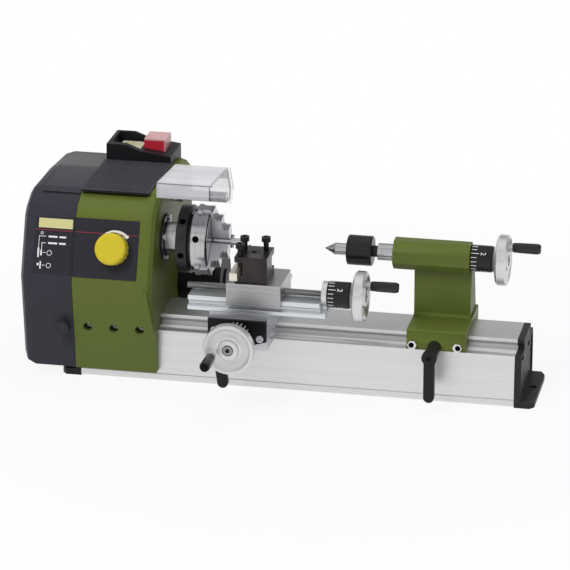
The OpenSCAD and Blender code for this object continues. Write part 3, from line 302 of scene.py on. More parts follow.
def painted(name, colour, pale):
    """Enamel on a casting, with a soft orange peel and faint clouds."""
    gloss = {"Specular IOR Level": 0.2, "Coat Weight": 0.08, "Coat Roughness": 0.25}
    f = Finish(name, colour, 0.45, **gloss)
    f.shade(f.span(f.noise(14, 3), -0.1, 0.45), pale)
    f.rough(f.span(f.noise(60, 3), 0.4, 0.54))
    f.raise_by(f.noise(850, 2), 0.03 * MM)
    f.raise_by(f.noise(120, 2), 0.08 * MM)
    f.relief(0.5)


def moulded(name, colour, pale, grain=1900, depth=0.035, roughness=0.5, shine=0.2):
    """Plastic with a fine spark-eroded grain."""
    f = Finish(name, colour, roughness, **{"Specular IOR Level": shine})
    f.shade(f.span(f.noise(grain, 2), -0.25, 0.5), pale)
    f.rough(f.span(f.noise(35, 3), roughness - 0.06, roughness + 0.08))
    f.raise_by(f.noise(grain, 3), depth * MM)
    f.relief(0.6)
    return f


def drawn(name, colour, dark, roughness=0.34):
    """Extruded or brushed metal with streaks along X."""
    f = Finish(name, colour, roughness, 0.9)
    streaks = f.noise((5, 700, 700), 3)
    wide = f.noise((1.5, 90, 90), 2)
    f.shade(f.span(streaks, -0.2, 0.55), dark)
    f.rough(f.span(wide * 0.5 + streaks * 0.5, roughness - 0.08, roughness + 0.12))
    f.raise_by(streaks, 0.012 * MM)
    f.relief(0.5)


def turned(name, colour, dark, axis, centre, roughness=0.22, metallic=1.0):
    """Lathe-turned surface with fine rings round its own axis, and the distance from that axis."""
    f = Finish(name, colour, roughness, metallic)
    along = f.x if axis == "X" else f.y
    out = f.radius(axis, centre)
    rings = f.noise((1800, 1800, 1), 2, f.vector(along, out, 0.0))
    bands = f.noise((150, 150, 1), 2, f.vector(along, out, 0.0))
    f.shade(f.span(rings, -0.25, 0.45), dark)
    f.rough(f.span(bands, roughness - 0.08, roughness + 0.1))
    f.raise_by(rings, 0.008 * MM)
    f.relief(0.5)
    return f, out


def wheel_metal(name, node, colour, dark, axis, centre, roughness=0.3):
    """Turned wheel whose hub holds a dull screw with its socket painted dark as painted shade, and whose
    handle pin ends dark.
    """
    f, out = turned(name, colour, dark, axis, centre, roughness, 0.85)
    f.shade(f.between(out, HUB_SOCKET, HUB_SCREW), (0.62, 0.62, 0.63))
    # Painted shade: the hub screw's socket is painted dark.
    f.shade(out < HUB_SOCKET, (0.22, 0.22, 0.23))
    low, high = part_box(node)
    pin_head = f.x > high[0] - PIN_HEAD if axis == "X" else f.y < low[1] + PIN_HEAD
    f.shade(pin_head, (0.07, 0.07, 0.075))


def chuck_steel(name, colour, dark):
    """Turned chuck with painted shade: its holes and slots are painted near black inside."""
    f, out = turned(name, colour, dark, "X", SPINDLE, 0.22)
    low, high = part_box("chuck_body")
    inside = out < (high[2] - low[2]) / 2 - CHUCK_SKIN
    # Painted shade: inside the body's outer skin, away from its front face, the steel is painted near black
    # in place of the shade in its holes and slots.
    f.shade(inside * (f.x < high[0] - CHUCK_FACE), (0.06, 0.06, 0.065))


def guard_steel(name, colour, under):
    """The guard's shaft, bright above, with painted shade: its lower half is painted dark."""
    shaft = middle("guard_shaft")
    f = turned(name, colour, (0.6, 0.6, 0.6), "X", (shaft.y, shaft.z))[0]
    # Painted shade: the shaft's lower half takes the dark colour.
    f.shade(f.z < shaft.z - SHAFT_SHADE, under)


def milled(name, colour, dark, roughness=0.36):
    """Ground or milled steel with crossing fine scratches."""
    f = Finish(name, colour, roughness, 0.9)
    lines = f.noise((9, 800, 800), 3) * 0.7 + f.noise((900, 14, 900), 2) * 0.3
    f.shade(f.span(lines, -0.3, 1.0), dark)
    f.rough(f.span(lines, roughness - 0.1, roughness + 0.14))
    f.raise_by(lines, 0.01 * MM)
    f.relief(0.5)


def blackened(name, colour, pale, roughness=0.38):
    """Steel with a black oxide skin, a little brown and uneven."""
    f = Finish(name, colour, roughness, 0.75)
    f.shade(f.span(f.noise(70, 4), -0.3, 0.7), pale)
    f.rough(f.span(f.noise(260, 3), roughness - 0.08, roughness + 0.12))
    f.raise_by(f.noise(1400, 2), 0.01 * MM)
    f.relief(0.5)


def ribs_along_x(f, share):
    """Fine moulded ribs along X, laid over a finish by a share."""
    ribs = abs((f.y / RIB_PITCH) % 1.0 - 0.5) * 2.0
    f.shade(ribs * share * 0.5, (0.3, 0.31, 0.335))
    f.raise_by(ribs * share, RIB_HEIGHT)


def ribbed_mat():
    """Rubber mat with fine ribs, dust in streaks and a dark front edge."""
    f = Finish("mat_rubber", (0.19, 0.195, 0.215), 0.5, **{"Specular IOR Level": 0.25})
    ribs_along_x(f, 1.0)
    f.shade(f.span(f.noise((9, 400, 60), 3), -0.3, 0.35), (0.36, 0.37, 0.39))
    f.shade(f.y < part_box("tool_tray_mat")[0][1] + EDGE_LINE, (0.05, 0.05, 0.055))
    f.raise_by(f.noise(1700, 2), 0.02 * MM)
    f.relief(0.8)


def cover_plastic(colour):
    """Cover with a ribbed rest on its top, a near-black line at the rest's front that is painted shade of
    the groove there, and a crown behind it painted lighter as a painted highlight.
    """
    f = Finish("cover_plastic", colour, 0.45, **{"Specular IOR Level": 0.2})
    low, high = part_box("belt_cover")
    f.shade(f.span(f.noise(1900, 2), -0.25, 0.4), (0.3, 0.3, 0.34))
    up = (f.z > high[2] - REST_BELOW_TOP) * (f.x > low[0] + REST_FROM_LEFT)
    ribs_along_x(f, up * f.between(f.y, REST_FRONT, REST_BACK))
    crown = f.held((f.z - high[2] + CROWN_HEIGHT) / CROWN_BLEND)
    # Painted highlight: the crown behind the rest is painted a lighter warm grey where its top faces up.
    f.shade(crown * (f.y > REST_BACK) * 0.7, (0.42, 0.41, 0.41))
    # Painted shade: a near-black line at the rest's front stands in for the shade in the groove there.
    f.shade(up * f.between(f.y, REST_FRONT - 2 * EDGE_LINE, REST_FRONT), (0.04, 0.04, 0.045))
    f.raise_by(f.noise(1900, 3), 0.03 * MM)
    f.relief(0.6)


def guard_outline(f, low, high):
    """1 on the guard's front corner, at the inner side of its right wall and on that wall's back edge,
    where painted grey lines stand in for the light on its clear edges.
    """
    corner = (f.z > high[2] - EDGE_LINE) * (f.y < low[1] + CORNER_LINE)
    end = f.between(f.x, high[0] - END_LINE[0], high[0] - END_LINE[1])
    from_edge = (f.y - BACK_EDGE_AT[0]) * BACK_EDGE_OUT[0] + (f.z - BACK_EDGE_AT[1]) * BACK_EDGE_OUT[1]
    back = (f.x > high[0] - END_FACE) * (from_edge > -EDGE_LINE)
    return f.highest(corner, end, back)


def clear_plastic():
    """Clear moulded plastic of the guard, with painted reflection: it whitens where seen at a slant and on
    its front and top walls along its length, and stays clear at its right end.
    """
    f = Finish("clear_plastic", (0.93, 0.93, 0.96), 0.1, **{"Coat Weight": 0.5, "Coat Roughness": 0.04})
    low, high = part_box("chuck_guard")
    slanting = f.value("ShaderNodeLayerWeight", None, {"Blend": 0.3}, 1)
    walls = f.highest(f.y < low[1] + FRONT_WALL, f.z > high[2] - TOP_WALL)
    reflecting_walls = (f.x < high[0] - CLEAR_END) * walls
    # Painted reflection: more opaque white where the wall is seen at a slant and on the front and top
    # walls, though the plastic is clear.
    painted_sheen = slanting * 0.22 + reflecting_walls * (f.noise((12, 60, 60), 2) * 0.3 + 0.3) + 0.08
    outline = guard_outline(f, low, high)
    # Painted light: grey, nearly opaque lines on the guard's edges stand in for how its clear edges bend
    # and mirror light.
    f.shade(outline, (0.42, 0.43, 0.47))
    f.feed(f.shader, "Alpha", f.highest(painted_sheen, outline * 0.7))
    f.raise_by(f.noise(16, 2), 0.25 * MM)
    f.relief(0.4)
    # Painted light: the thin rim faces are grey and nearly opaque, standing in for the light on the clear
    # edges.
    rim = Finish("clear_rim", (0.4, 0.41, 0.44), 0.12, **{"Alpha": 0.85, "Coat Weight": 0.6})
    rim.raise_by(rim.noise(300, 2), 0.02 * MM)
    rim.relief(0.3)


def capped_button(name, node, colour, cap, deep, blend):
    """Coloured button under a clear cap, whose tint lies on its top and its right side."""
    f = moulded(name, colour, colour, depth=0.008, roughness=0.24, shine=0.5)
    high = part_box(node)[1]
    top = f.held((f.z - (high[2] - deep)) / blend)
    side = f.held((f.x - (high[0] - deep)) / blend) * 0.7
    f.shade(f.highest(top, side) * f.span(f.noise(160, 3), 0.6, 1.0), cap)


def hollow_nuts(name, node, socket):
    """A pair of chrome nuts side by side along X, with painted shade: a near-black disc in each nut's
    middle stands in for the shade in its bore.
    """
    f = Finish(name, (0.88, 0.88, 0.9), 0.16, 1.0)
    low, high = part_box(node)
    half = (high[2] - low[2]) / 2
    from_middle = abs(f.x - (low[0] + high[0]) / 2) - ((high[0] - low[0]) / 2 - half)
    up = f.z - (low[2] + high[2]) / 2
    # Painted shade in each nut's bore.
    f.shade((from_middle * from_middle + up * up) ** 0.5 < socket, (0.03, 0.03, 0.035))
    f.raise_by(f.noise(500, 2), 0.01 * MM)
    f.relief(0.4)


def make_finishes(colours):
    """Every finish of the lathe."""
    painted("green_paint", colours.green, (0.42, 0.47, 0.23))
    cover_plastic(colours.cover)
    moulded("foot_plastic", (0.15, 0.15, 0.155), (0.31, 0.31, 0.32), grain=1100, depth=0.06)
    moulded("switch_plastic", (0.1, 0.1, 0.115), (0.17, 0.17, 0.19), roughness=0.42)
    moulded("lever_plastic", (0.11, 0.11, 0.12), (0.18, 0.18, 0.2), roughness=0.4)
    moulded("handle_plastic", (0.05, 0.05, 0.06), (0.09, 0.09, 0.1), depth=0.01, roughness=0.18, shine=0.5)
    moulded("yellow_plastic", colours.knob, (0.9, 0.83, 0.3), depth=0.02, roughness=0.42)
    capped_button("on_plastic", "on_button", (0.62, 0.6, 0.22), (0.88, 0.86, 0.76), 2.4 * MM, 2 * MM)
    capped_button("off_plastic", "off_button", colours.stop, (0.9, 0.74, 0.74), 1.4 * MM, 0.3 * MM)
    moulded("panel_film", (0.17, 0.17, 0.2), (0.21, 0.21, 0.24), grain=2600, depth=0.01, roughness=0.45)
    moulded("belt_rubber", (0.1, 0.1, 0.1), (0.16, 0.16, 0.16))
    moulded("white_ink", (0.95, 0.95, 0.95), (1, 1, 1), depth=0.004, roughness=0.5)
    moulded("red_ink", (0.66, 0.24, 0.3), (0.7, 0.3, 0.36), depth=0.004, roughness=0.5)
    moulded("plate_ink", (0.86, 0.84, 0.6), (0.9, 0.88, 0.68), depth=0.004, roughness=0.4)
    drawn("anodised_extrusion", colours.extrusion, (0.8, 0.8, 0.805))
    drawn("screw_steel", (0.66, 0.66, 0.65), (0.45, 0.45, 0.45), 0.3)
    turned("turned_steel", colours.steel, (0.5, 0.5, 0.52), "X", SPINDLE)
    chuck_steel("chuck_steel", colours.steel, (0.5, 0.5, 0.52))
    # The guard shaft's near-black second colour is painted shade on its lower half.
    guard_steel("guard_steel", (0.85, 0.85, 0.86), (0.06, 0.06, 0.065))
    wheel_metal("spindle_wheel", "tail_handwheel", colours.wheel, (0.66, 0.66, 0.67), "X", SPINDLE)
    wheel_metal("top_wheel", "top_handwheel", colours.wheel, (0.66, 0.66, 0.67), "X", TOP_SCREW)
    wheel_metal("cross_wheel", "cross_handwheel", colours.wheel, (0.7, 0.7, 0.71), "Y", CROSS_SCREW, 0.36)
    turned("pulley_metal", (0.86, 0.86, 0.87), (0.6, 0.6, 0.62), "X", SPINDLE)
    turned("top_black", (0.1, 0.1, 0.11), (0.2, 0.2, 0.21), "X", TOP_SCREW, 0.38, 0.4)
    turned("cross_black", (0.1, 0.1, 0.11), (0.2, 0.2, 0.21), "Y", CROSS_SCREW, 0.38, 0.4)
    turned("tail_black", (0.1, 0.1, 0.11), (0.2, 0.2, 0.21), "X", SPINDLE, 0.3, 0.4)
    turned("ring_black", (0.17, 0.17, 0.18), (0.26, 0.26, 0.28), "X", SPINDLE, 0.3, 0.6)
    milled("jaw_steel", (0.85, 0.845, 0.86), (0.6, 0.6, 0.61), 0.28)
    # jaw_shaded is painted shade: a dark copy of the jaw steel for jaw_3 alone, made with the black-oxide
    # finish though it is the same steel as the other jaws.
    blackened("jaw_shaded", (0.16, 0.16, 0.18), (0.3, 0.3, 0.32), 0.3)
    milled("milled_steel", (0.75, 0.745, 0.75), (0.58, 0.575, 0.585), 0.32)
    milled("slide_steel", (0.86, 0.865, 0.88), (0.68, 0.685, 0.7), 0.36)
    milled("tool_steel", (0.95, 0.93, 0.86), (0.8, 0.79, 0.74), 0.28)
    milled("bright_screws", (0.86, 0.86, 0.88), (0.66, 0.66, 0.68), 0.2)
    drawn("rail_metal", colours.rail, (0.76, 0.775, 0.79), 0.28)
    blackened("black_screws", (0.12, 0.115, 0.12), (0.2, 0.19, 0.19), 0.26)
    blackened("post_black", (0.19, 0.17, 0.175), (0.3, 0.28, 0.28), 0.3)
    blackened("plate_black", (0.1, 0.1, 0.11), (0.16, 0.16, 0.17))
    hollow_nuts("nut_chrome", "tailstock_nuts", NUT_SOCKET)
    ribbed_mat()
    clear_plastic()


# Nodes whose finish isn't their record slot's own
FINISH_OF = {
    "slide_rail": "rail_metal",
    "toolpost": "post_black",
    "live_centre_body": "tail_black",
    "scroll_ring": "ring_black",
    "chuck_body": "chuck_steel",
    "saddle": "slide_steel",
    "cross_slide": "slide_steel",
    # jaw_3 wears a dark copy of the jaw steel as painted shade.
    "jaw_3": "jaw_shaded",
    "guard_shaft": "guard_steel",
    "bearing_flange": "ring_black",
    "top_screw_bearing": "top_wheel",
    "top_dial": "top_black",
    "cross_dial": "cross_black",
    "tail_dial": "tail_black",
    "top_handwheel": "top_wheel",
    "cross_handwheel": "cross_wheel",
    "tail_handwheel": "spindle_wheel",
    "work_rod": "bright_screws",
    "motor_body": "belt_rubber",
    "speed_potentiometer": "screw_steel",
    "spindle_bearings": "bright_screws",
    "toolpost_bolt": "black_screws",
    "turning_tool": "tool_steel",
    "tailstock_nuts": "nut_chrome",
}


def finish_of(node):
    """The finish of a CAD node."""
    return finishes[FINISH_OF.get(node, SLOT_OF[node])]


def put_in_scene(name, mesh, body, finish):
    """A finished piece on its body, with its finish."""
    piece = bpy.data.objects.new(name, mesh)
    bpy.context.scene.collection.objects.link(piece)
    if finish and not mesh.materials:
        mesh.materials.append(finish)
    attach(piece, body)
    return piece


def flattened(piece):
    """The evaluated mesh of a piece with its modifiers, as plain data. The piece is removed."""
    graph = bpy.context.evaluated_depsgraph_get()
    mesh = bpy.data.meshes.new_from_object(piece.evaluated_get(graph), depsgraph=graph)
    mesh.name = piece.name
    bpy.data.objects.remove(piece)
    return mesh


def scratch(name, mesh):
    """A helper object that modifiers work on."""
    piece = bpy.data.objects.new(name, mesh)
    bpy.context.scene.collection.objects.link(piece)
    return piece


def clean_copy(node):
    """A CAD node's mesh with its doubles merged and its flat faces joined."""
    shape = bmesh.new()
    shape.from_mesh(frame["nodes"][node].data)
    bmesh.ops.remove_doubles(shape, verts=shape.verts, dist=MERGE)
    bmesh.ops.dissolve_limit(shape, angle_limit=FLAT, verts=shape.verts, edges=shape.edges)
    mesh = bpy.data.meshes.new(node + "_edges")
    shape.to_mesh(mesh)
    shape.free()
    return mesh


def round_edges(node, width):
    """Stands a copy of a CAD node in its place, with its sharp edges rounded."""
    piece = scratch(node + "_rounded", clean_copy(node))
    piece.data.shade_smooth()
    bevel = piece.modifiers.new("edges", "BEVEL")
    bevel.width = width * MM
    bevel.segments = BEVEL_STEPS
    bevel.limit_method = "ANGLE"
    bevel.angle_limit = CORNER
    bevel.use_clamp_overlap = True
    level = piece.modifiers.new("flat faces", "WEIGHTED_NORMAL")
    level.weight = 100
    level.keep_sharp = True
    mesh = flattened(piece)
    mesh.materials.clear()
    rounded = put_in_scene(node + "_rounded", mesh, BODY_OF[node], finish_of(node))
    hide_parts(node)
    return rounded


def plate(name, place, outline, thickness):
    """A flat plate: an outline in a place's own X and Y, raised along its Z."""
    shape = bmesh.new()
    below, above = ([shape.verts.new((x, y, z)) for x, y in outline] for z in (0, thickness))
    sides = zip(below, below[1:] + below[:1], above[1:] + above[:1], above)
    for corners in (below, above, *sides):
        shape.faces.new(corners)
    bmesh.ops.recalc_face_normals(shape, faces=shape.faces)
    mesh = bpy.data.meshes.new(name)
    shape.to_mesh(mesh)
    shape.free()
    mesh.transform(place)
    return mesh


def bar(x0, y0, x1, y1):
    """Outline of an upright rectangle."""
    return [(x0, y0), (x1, y0), (x1, y1), (x0, y1)]


def arc_band(inner, outer_start, outer_end, start, end, steps=40):
    """Outline of a band round a centre, whose outer radius changes along the way."""
    shares = [i / steps for i in range(steps + 1)]
    turns = [math.radians(start + (end - start) * share) for share in shares]
    outers = [outer_start + (outer_end - outer_start) * share for share in shares]
    inside = [(inner * math.cos(a), inner * math.sin(a)) for a in turns]
    outside = [(r * math.cos(a), r * math.sin(a)) for r, a in zip(outers, turns)]
    return inside + outside[::-1]


def joined(name, meshes, finish):
    """One mesh of several."""
    shape = bmesh.new()
    for mesh in meshes:
        shape.from_mesh(mesh)
    total = bpy.data.meshes.new(name)
    shape.to_mesh(total)
    shape.free()
    total.materials.append(finish)
    return total


class Repeat(Maker):
    """A Geometry Nodes tree with named inputs that ends in Realize Instances and Set Material."""

    def __init__(self, name, sizes, finish):
        super().__init__(bpy.data.node_groups.new(name, "GeometryNodeTree"))
        face = self.tree.interface
        self.ids = {}
        for label, value in sizes.items():
            kind = "NodeSocketInt" if isinstance(value, int) else "NodeSocketFloat"
            self.ids[label] = (face.new_socket(label, in_out="INPUT", socket_type=kind).identifier, value)
        face.new_socket("Geometry", in_out="OUTPUT", socket_type="NodeSocketGeometry")
        self.given = self.node("NodeGroupInput")
        self.finish = finish

    def size(self, label):
        """One of the tree's named inputs."""
        return Value(self, self.given.outputs[label])

    def end(self, geometry):
        """Realizes the geometry and returns it as a plain mesh."""
        real = self.value("GeometryNodeRealizeInstances", None, {"Geometry": geometry})
        done = self.value("GeometryNodeSetMaterial", None, {"Geometry": real, "Material": self.finish})
        self.node("NodeGroupOutput", None, {"Geometry": done})
        piece = scratch(self.tree.name, bpy.data.meshes.new(self.tree.name))
        nodes = piece.modifiers.new("repeat", "NODES")
        nodes.node_group = self.tree
        for identifier, value in self.ids.values():
            nodes[identifier] = value
        mesh = flattened(piece)
        shape = bmesh.new()
        shape.from_mesh(mesh)
        bmesh.ops.remove_doubles(shape, verts=shape.verts, dist=MERGE)
        bmesh.ops.recalc_face_normals(shape, faces=shape.faces)
        shape.to_mesh(mesh)
        shape.free()
        return mesh


def ring_of_marks(name, count, radius, width, short, tall, every, finish):
    """Marks round the X axis from x = 0, each one in every so many tall."""
    sizes = {"Count": count, "Radius": radius, "Width": width, "Short": short, "Tall": tall, "Every": every}
    tree = Repeat(name, sizes, finish)
    index = tree.value("GeometryNodeInputIndex")
    turn = index / tree.size("Count") * math.tau
    tall_one = (index % tree.size("Every")) < 0.5
    long = tree.size("Short") + (tree.size("Tall") - tree.size("Short")) * tall_one
    radius = tree.size("Radius")
    spot = tree.vector(long / 2, radius * tree.maths("COSINE", turn), radius * tree.maths("SINE", turn))
    points = tree.value("GeometryNodePoints", None, {"Count": tree.size("Count"), "Position": spot})
    bar_size = tree.vector(1.0, tree.size("Width"), tree.size("Width"))
    mark = tree.value("GeometryNodeMeshCube", None, {"Size": bar_size})
    sockets = {
        "Points": points,
        "Instance": mark,
        "Rotation": tree.vector(turn, 0.0, 0.0),
        "Scale": tree.vector(long, 1.0, 1.0),
    }
    return tree.end(tree.value("GeometryNodeInstanceOnPoints", None, sockets))


def threaded_bar(name, length, radius, pitch, depth, finish):
    """A screw along X from x = 0: a grid rolled into a bar whose radius follows the thread."""
    around = 24
    steps_per_turn = 6
    rows = int(length / pitch) * steps_per_turn + 3
    tree = Repeat(name, {"Radius": radius, "Pitch": pitch, "Depth": depth}, finish)
    grid = tree.value("GeometryNodeMeshGrid", None, {"Vertices X": rows, "Vertices Y": around + 1})
    index = tree.value("GeometryNodeInputIndex")
    row = tree.maths("FLOOR", index / (around + 1))
    turn = (index % (around + 1)) / around
    along = tree.maths("MINIMUM", tree.maths("MAXIMUM", row - 1, 0.0), rows - 3.0) * (length / (rows - 3))
    wave = abs((along / tree.size("Pitch") - turn) % 1.0 - 0.5) * 2.0
    inside = (row > 0.5) * (row < rows - 1.5)
    reach = (tree.size("Radius") - tree.size("Depth") * wave) * inside
    spot = tree.vector(
        along, reach * tree.maths("COSINE", turn * math.tau), reach * tree.maths("SINE", turn * math.tau)
    )
    mesh = tree.end(tree.value("GeometryNodeSetPosition", None, {"Geometry": grid, "Position": spot}))
    mesh.shade_smooth()
    mesh.set_sharp_from_angle(angle=THREAD_CORNER)
    return mesh


def numeral(digit, height):
    """A plain digit as a flat mesh, centred on the origin in X and Y."""
    curve = bpy.data.curves.new("numeral", "FONT")
    curve.body = str(digit)
    curve.size = height * TEXT_SIZE_PER_HEIGHT
    curve.extrude = DIGIT_THICKNESS
    curve.align_x = "CENTER"
    curve.align_y = "CENTER"
    piece = bpy.data.objects.new("numeral", curve)
    bpy.context.scene.collection.objects.link(piece)
    bpy.context.view_layer.update()
    return flattened(piece)


def dial_numbers(name, count, radius, along, height, finish):
    """Digits from 0 round a dial on the X axis, read from the side, bent to its curve."""
    digits = []
    for i in range(count):
        mesh = numeral(i, height)
        turn = math.tau * i / count
        for vertex in mesh.vertices:
            u, v, w = vertex.co
            angle = turn + u / radius
            reach = radius + w
            vertex.co = (along + v, reach * math.cos(angle), reach * math.sin(angle))
        digits.append(mesh)
    return joined(name, digits, finish)


TO_RIGHT = Matrix.Identity(4)
TO_FRONT = Matrix(((0, 1, 0, 0), (-1, 0, 0, 0), (0, 0, 1, 0), (0, 0, 0, 1)))


def start_of(node, turn_to):
    """The back end of a round node's axis, which runs along X, or towards the front with TO_FRONT."""
    low, high = (Vector(corner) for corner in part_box(node))
    centre = (low + high) / 2
    if turn_to is TO_FRONT:
        return Vector((centre.x, high.y, centre.z))
    return Vector((low.x, centre.y, centre.z))


def dress_dial(dial, sizes, turn_to):
    """White graduations and plain numbers on one dial. turn_to swings X to the dial's own axis."""
    ink = finishes["white_ink"]
    marks = ring_of_marks(
        dial + "_marks", sizes.dial_marks, sizes.dial_radius, sizes.mark_width,
        sizes.mark_short, sizes.mark_tall, sizes.marks_per_number, ink,
    )
    marks.transform(Matrix.Translation((MARK_START, 0, 0)))
    numbers = dial_numbers(
        dial + "_numbers", sizes.dial_marks // sizes.marks_per_number, sizes.dial_radius + DIGIT_LIFT,
        sizes.number_place, sizes.number_height, ink,
    )
    place = Matrix.Translation(start_of(dial, turn_to)) @ turn_to
    set_to = Matrix.Rotation(sizes.dial_setting, 4, "X")
    for label, mesh in (("_marks", marks), ("_numbers", numbers)):
        mesh.transform(place @ set_to)
        put_in_scene(dial + label, mesh, BODY_OF[dial], None)


class LatheColours(bpy.types.PropertyGroup):
    """Colours of the finishes, as they show on a screen."""

    green: FloatVectorProperty(
        name="Paint", description="Enamel on the castings",
        subtype="COLOR_GAMMA", min=0, max=1, default=(0.375, 0.425, 0.175),
    )
    cover: FloatVectorProperty(
        name="Cover", description="Plastic of the belt cover",
        subtype="COLOR_GAMMA", min=0, max=1, default=(0.2, 0.2, 0.235),
    )
    knob: FloatVectorProperty(
        name="Speed knob", description="Plastic of the speed knob",
        subtype="COLOR_GAMMA", min=0, max=1, default=(0.86, 0.78, 0.2),
    )
    stop: FloatVectorProperty(
        name="Stop button", description="Plastic of the stop button",
        subtype="COLOR_GAMMA", min=0, max=1, default=(0.80, 0.16, 0.24),
    )
    extrusion: FloatVectorProperty(
        name="Bed", description="Anodised bed extrusion",
        subtype="COLOR_GAMMA", min=0, max=1, default=(0.88, 0.88, 0.88),
    )
    rail: FloatVectorProperty(
        name="Slide rail", description="Anodised slide rail",
        subtype="COLOR_GAMMA", min=0, max=1, default=(0.88, 0.895, 0.905),
    )
    steel: FloatVectorProperty(
        name="Steel", description="Turned bright steel",
        subtype="COLOR_GAMMA", min=0, max=1, default=(0.76, 0.76, 0.77),
    )
    wheel: FloatVectorProperty(
        name="Handwheels", description="Turned light metal of the handwheels",
        subtype="COLOR_GAMMA", min=0, max=1, default=(0.88, 0.88, 0.885),
    )


class LatheDetail(bpy.types.PropertyGroup):
    """Sizes of the fine detail."""

    dial_radius: FloatProperty(
        name="Dial radius", description="Radius of the graduated dials",
        unit="LENGTH", default=10 * MM, min=5 * MM,
    )
    dial_marks: IntProperty(name="Dial marks", description="Graduations on one dial", default=20, min=4)
    marks_per_number: IntProperty(
        name="Marks per number", description="Graduations from one number to the next", default=5, min=1
    )
    mark_width: FloatProperty(
        name="Mark width", description="Width of a graduation", unit="LENGTH", default=0.45 * MM
    )
    dial_setting: FloatProperty(
        name="Dial setting", description="Turn of the dials' marks at rest",
        subtype="ANGLE", default=math.radians(-40),
    )
    mark_short: FloatProperty(
        name="Short mark", description="Length of a plain graduation", unit="LENGTH", default=4.2 * MM
    )
    mark_tall: FloatProperty(
        name="Tall mark", description="Length of a numbered graduation", unit="LENGTH", default=5.8 * MM
    )
    number_height: FloatProperty(
        name="Number height", description="Height of the dial's digits", unit="LENGTH", default=4.0 * MM
    )
    number_place: FloatProperty(
        name="Number place", description="Distance of the digits from the dial's edge",
        unit="LENGTH", default=9.4 * MM,
    )
    ink: FloatProperty(
        name="Ink", description="Thickness of printed marks", unit="LENGTH", default=0.06 * MM,
    )
    panel_thickness: FloatProperty(
        name="Panel thickness", description="Of the plate round the speed knob",
        unit="LENGTH", default=0.8 * MM,
    )
    thread_pitch: FloatProperty(
        name="Thread pitch", description="Pitch of the feed screws", unit="LENGTH", default=1.0 * MM,
    )
    thread_depth: FloatProperty(
        name="Thread depth", description="Depth of the feed screws' thread",
        unit="LENGTH", default=0.5 * MM,
    )


class LatheStage(bpy.types.PropertyGroup):
    """The camera, and the level of the lamps."""

    turn: FloatProperty(
        name="Camera turn", description="Angle of the camera to the right of straight ahead",
        subtype="ANGLE", default=math.radians(11.53),
    )
    tilt: FloatProperty(
        name="Camera tilt", description="Angle of the camera above level",
        subtype="ANGLE", default=math.radians(20.35),
    )
    distance: FloatProperty(
        name="Camera distance", description="From the camera to what it looks at",
        unit="LENGTH", default=2.715,
    )
    lens: FloatProperty(name="Focal length", description="Of a 36 mm sensor", unit="CAMERA", default=228.4)
    key: FloatProperty(name="Key lamp", description="Power of the large lamp", unit="POWER", default=30.0)
    fill: FloatProperty(name="Fill lamp", description="Power of the right lamp", unit="POWER", default=2.0)
    top: FloatProperty(name="Top lamp", description="Power of the lamp overhead", unit="POWER", default=9.0)
    sky: FloatProperty(name="Sky", description="Level of the light from all round", min=0, default=0.24)


class LATHE_OT_finishes(bpy.types.Operator):
    """Make every finish and put it on the CAD nodes"""

    bl_idname = "lathe.finishes"
    bl_label = "Finishes"

    def execute(self, context):
        make_finishes(context.scene.lathe_colours)
        for name, node in frame["nodes"].items():
            node.data.materials.clear()
            node.data.materials.append(finish_of(name))
        return {"FINISHED"}


ROUNDED = {
    "headstock_housing": 0.7, "tailstock_body": 0.7, "belt_cover": 0.8, "bed_extrusion": 0.3,
    "left_end_foot": 0.6, "right_end_foot": 0.6, "switch_housing": 0.7, "on_button": 1.0,
    "control_panel_plate": 0.2, "tool_tray_mat": 0.3, "saddle": 0.4, "cross_slide": 0.35,
    "slide_rail": 0.3, "cross_bearing_plate": 0.35, "top_slide": 0.35, "toolpost": 0.4,
    "turning_tool": 0.25, "jaw_1": 0.12, "jaw_2": 0.12, "jaw_3": 0.12, "chuck_body": 0.25,
    "scroll_ring": 0.3, "saddle_clamp_lever": 0.7, "tailstock_clamp_lever": 0.7,
    "tailstock_nuts": 0.25, "live_centre_body": 0.3, "speed_knob": 0.3, "spindle": 0.3,
    "cover_knob": 0.4, "tool_clamp_screws": 0.2, "headstock_screws": 0.15, "saddle_screws": 0.2,
    "cross_handwheel": 0.2, "top_handwheel": 0.2, "tail_handwheel": 0.2, "quill": 0.2,
    "centre_tip": 0.1, "work_rod": 0.1, "guard_shaft": 0.2, "top_screw_bearing": 0.2,
}


class LATHE_OT_edges(bpy.types.Operator):
    """Round the edges of castings, plates, slides and mouldings"""

    bl_idname = "lathe.edges"
    bl_label = "Rounded edges"

    def execute(self, context):
        for node, width in ROUNDED.items():
            round_edges(node, width)
        return {"FINISHED"}


class LATHE_OT_guard(bpy.types.Operator):
    """Make the clear guard with its rims painted grey, standing in for the light on its clear edges"""

    bl_idname = "lathe.guard"
    bl_label = "Chuck guard"

    def execute(self, context):
        mesh = round_edges("chuck_guard", 0.8).data
        mesh.materials.clear()
        mesh.materials.append(finishes["clear_plastic"])
        mesh.materials.append(finishes["clear_rim"])
        for face in mesh.polygons:
            corners = [mesh.vertices[i].co for i in face.vertices]
            spread = sorted(max(c[k] for c in corners) - min(c[k] for c in corners) for k in range(3))
            face.material_index = 1 if spread[1] < RIM_WIDTH else 0
        return {"FINISHED"}


class LATHE_OT_dials(bpy.types.Operator):
    """Mark the three dials with graduations and numbers"""

    bl_idname = "lathe.dials"
    bl_label = "Dials"

    def execute(self, context):
        sizes = context.scene.lathe_detail
        dress_dial("top_dial", sizes, TO_RIGHT)
        dress_dial("tail_dial", sizes, TO_RIGHT)
        dress_dial("cross_dial", sizes, TO_FRONT)
        return {"FINISHED"}


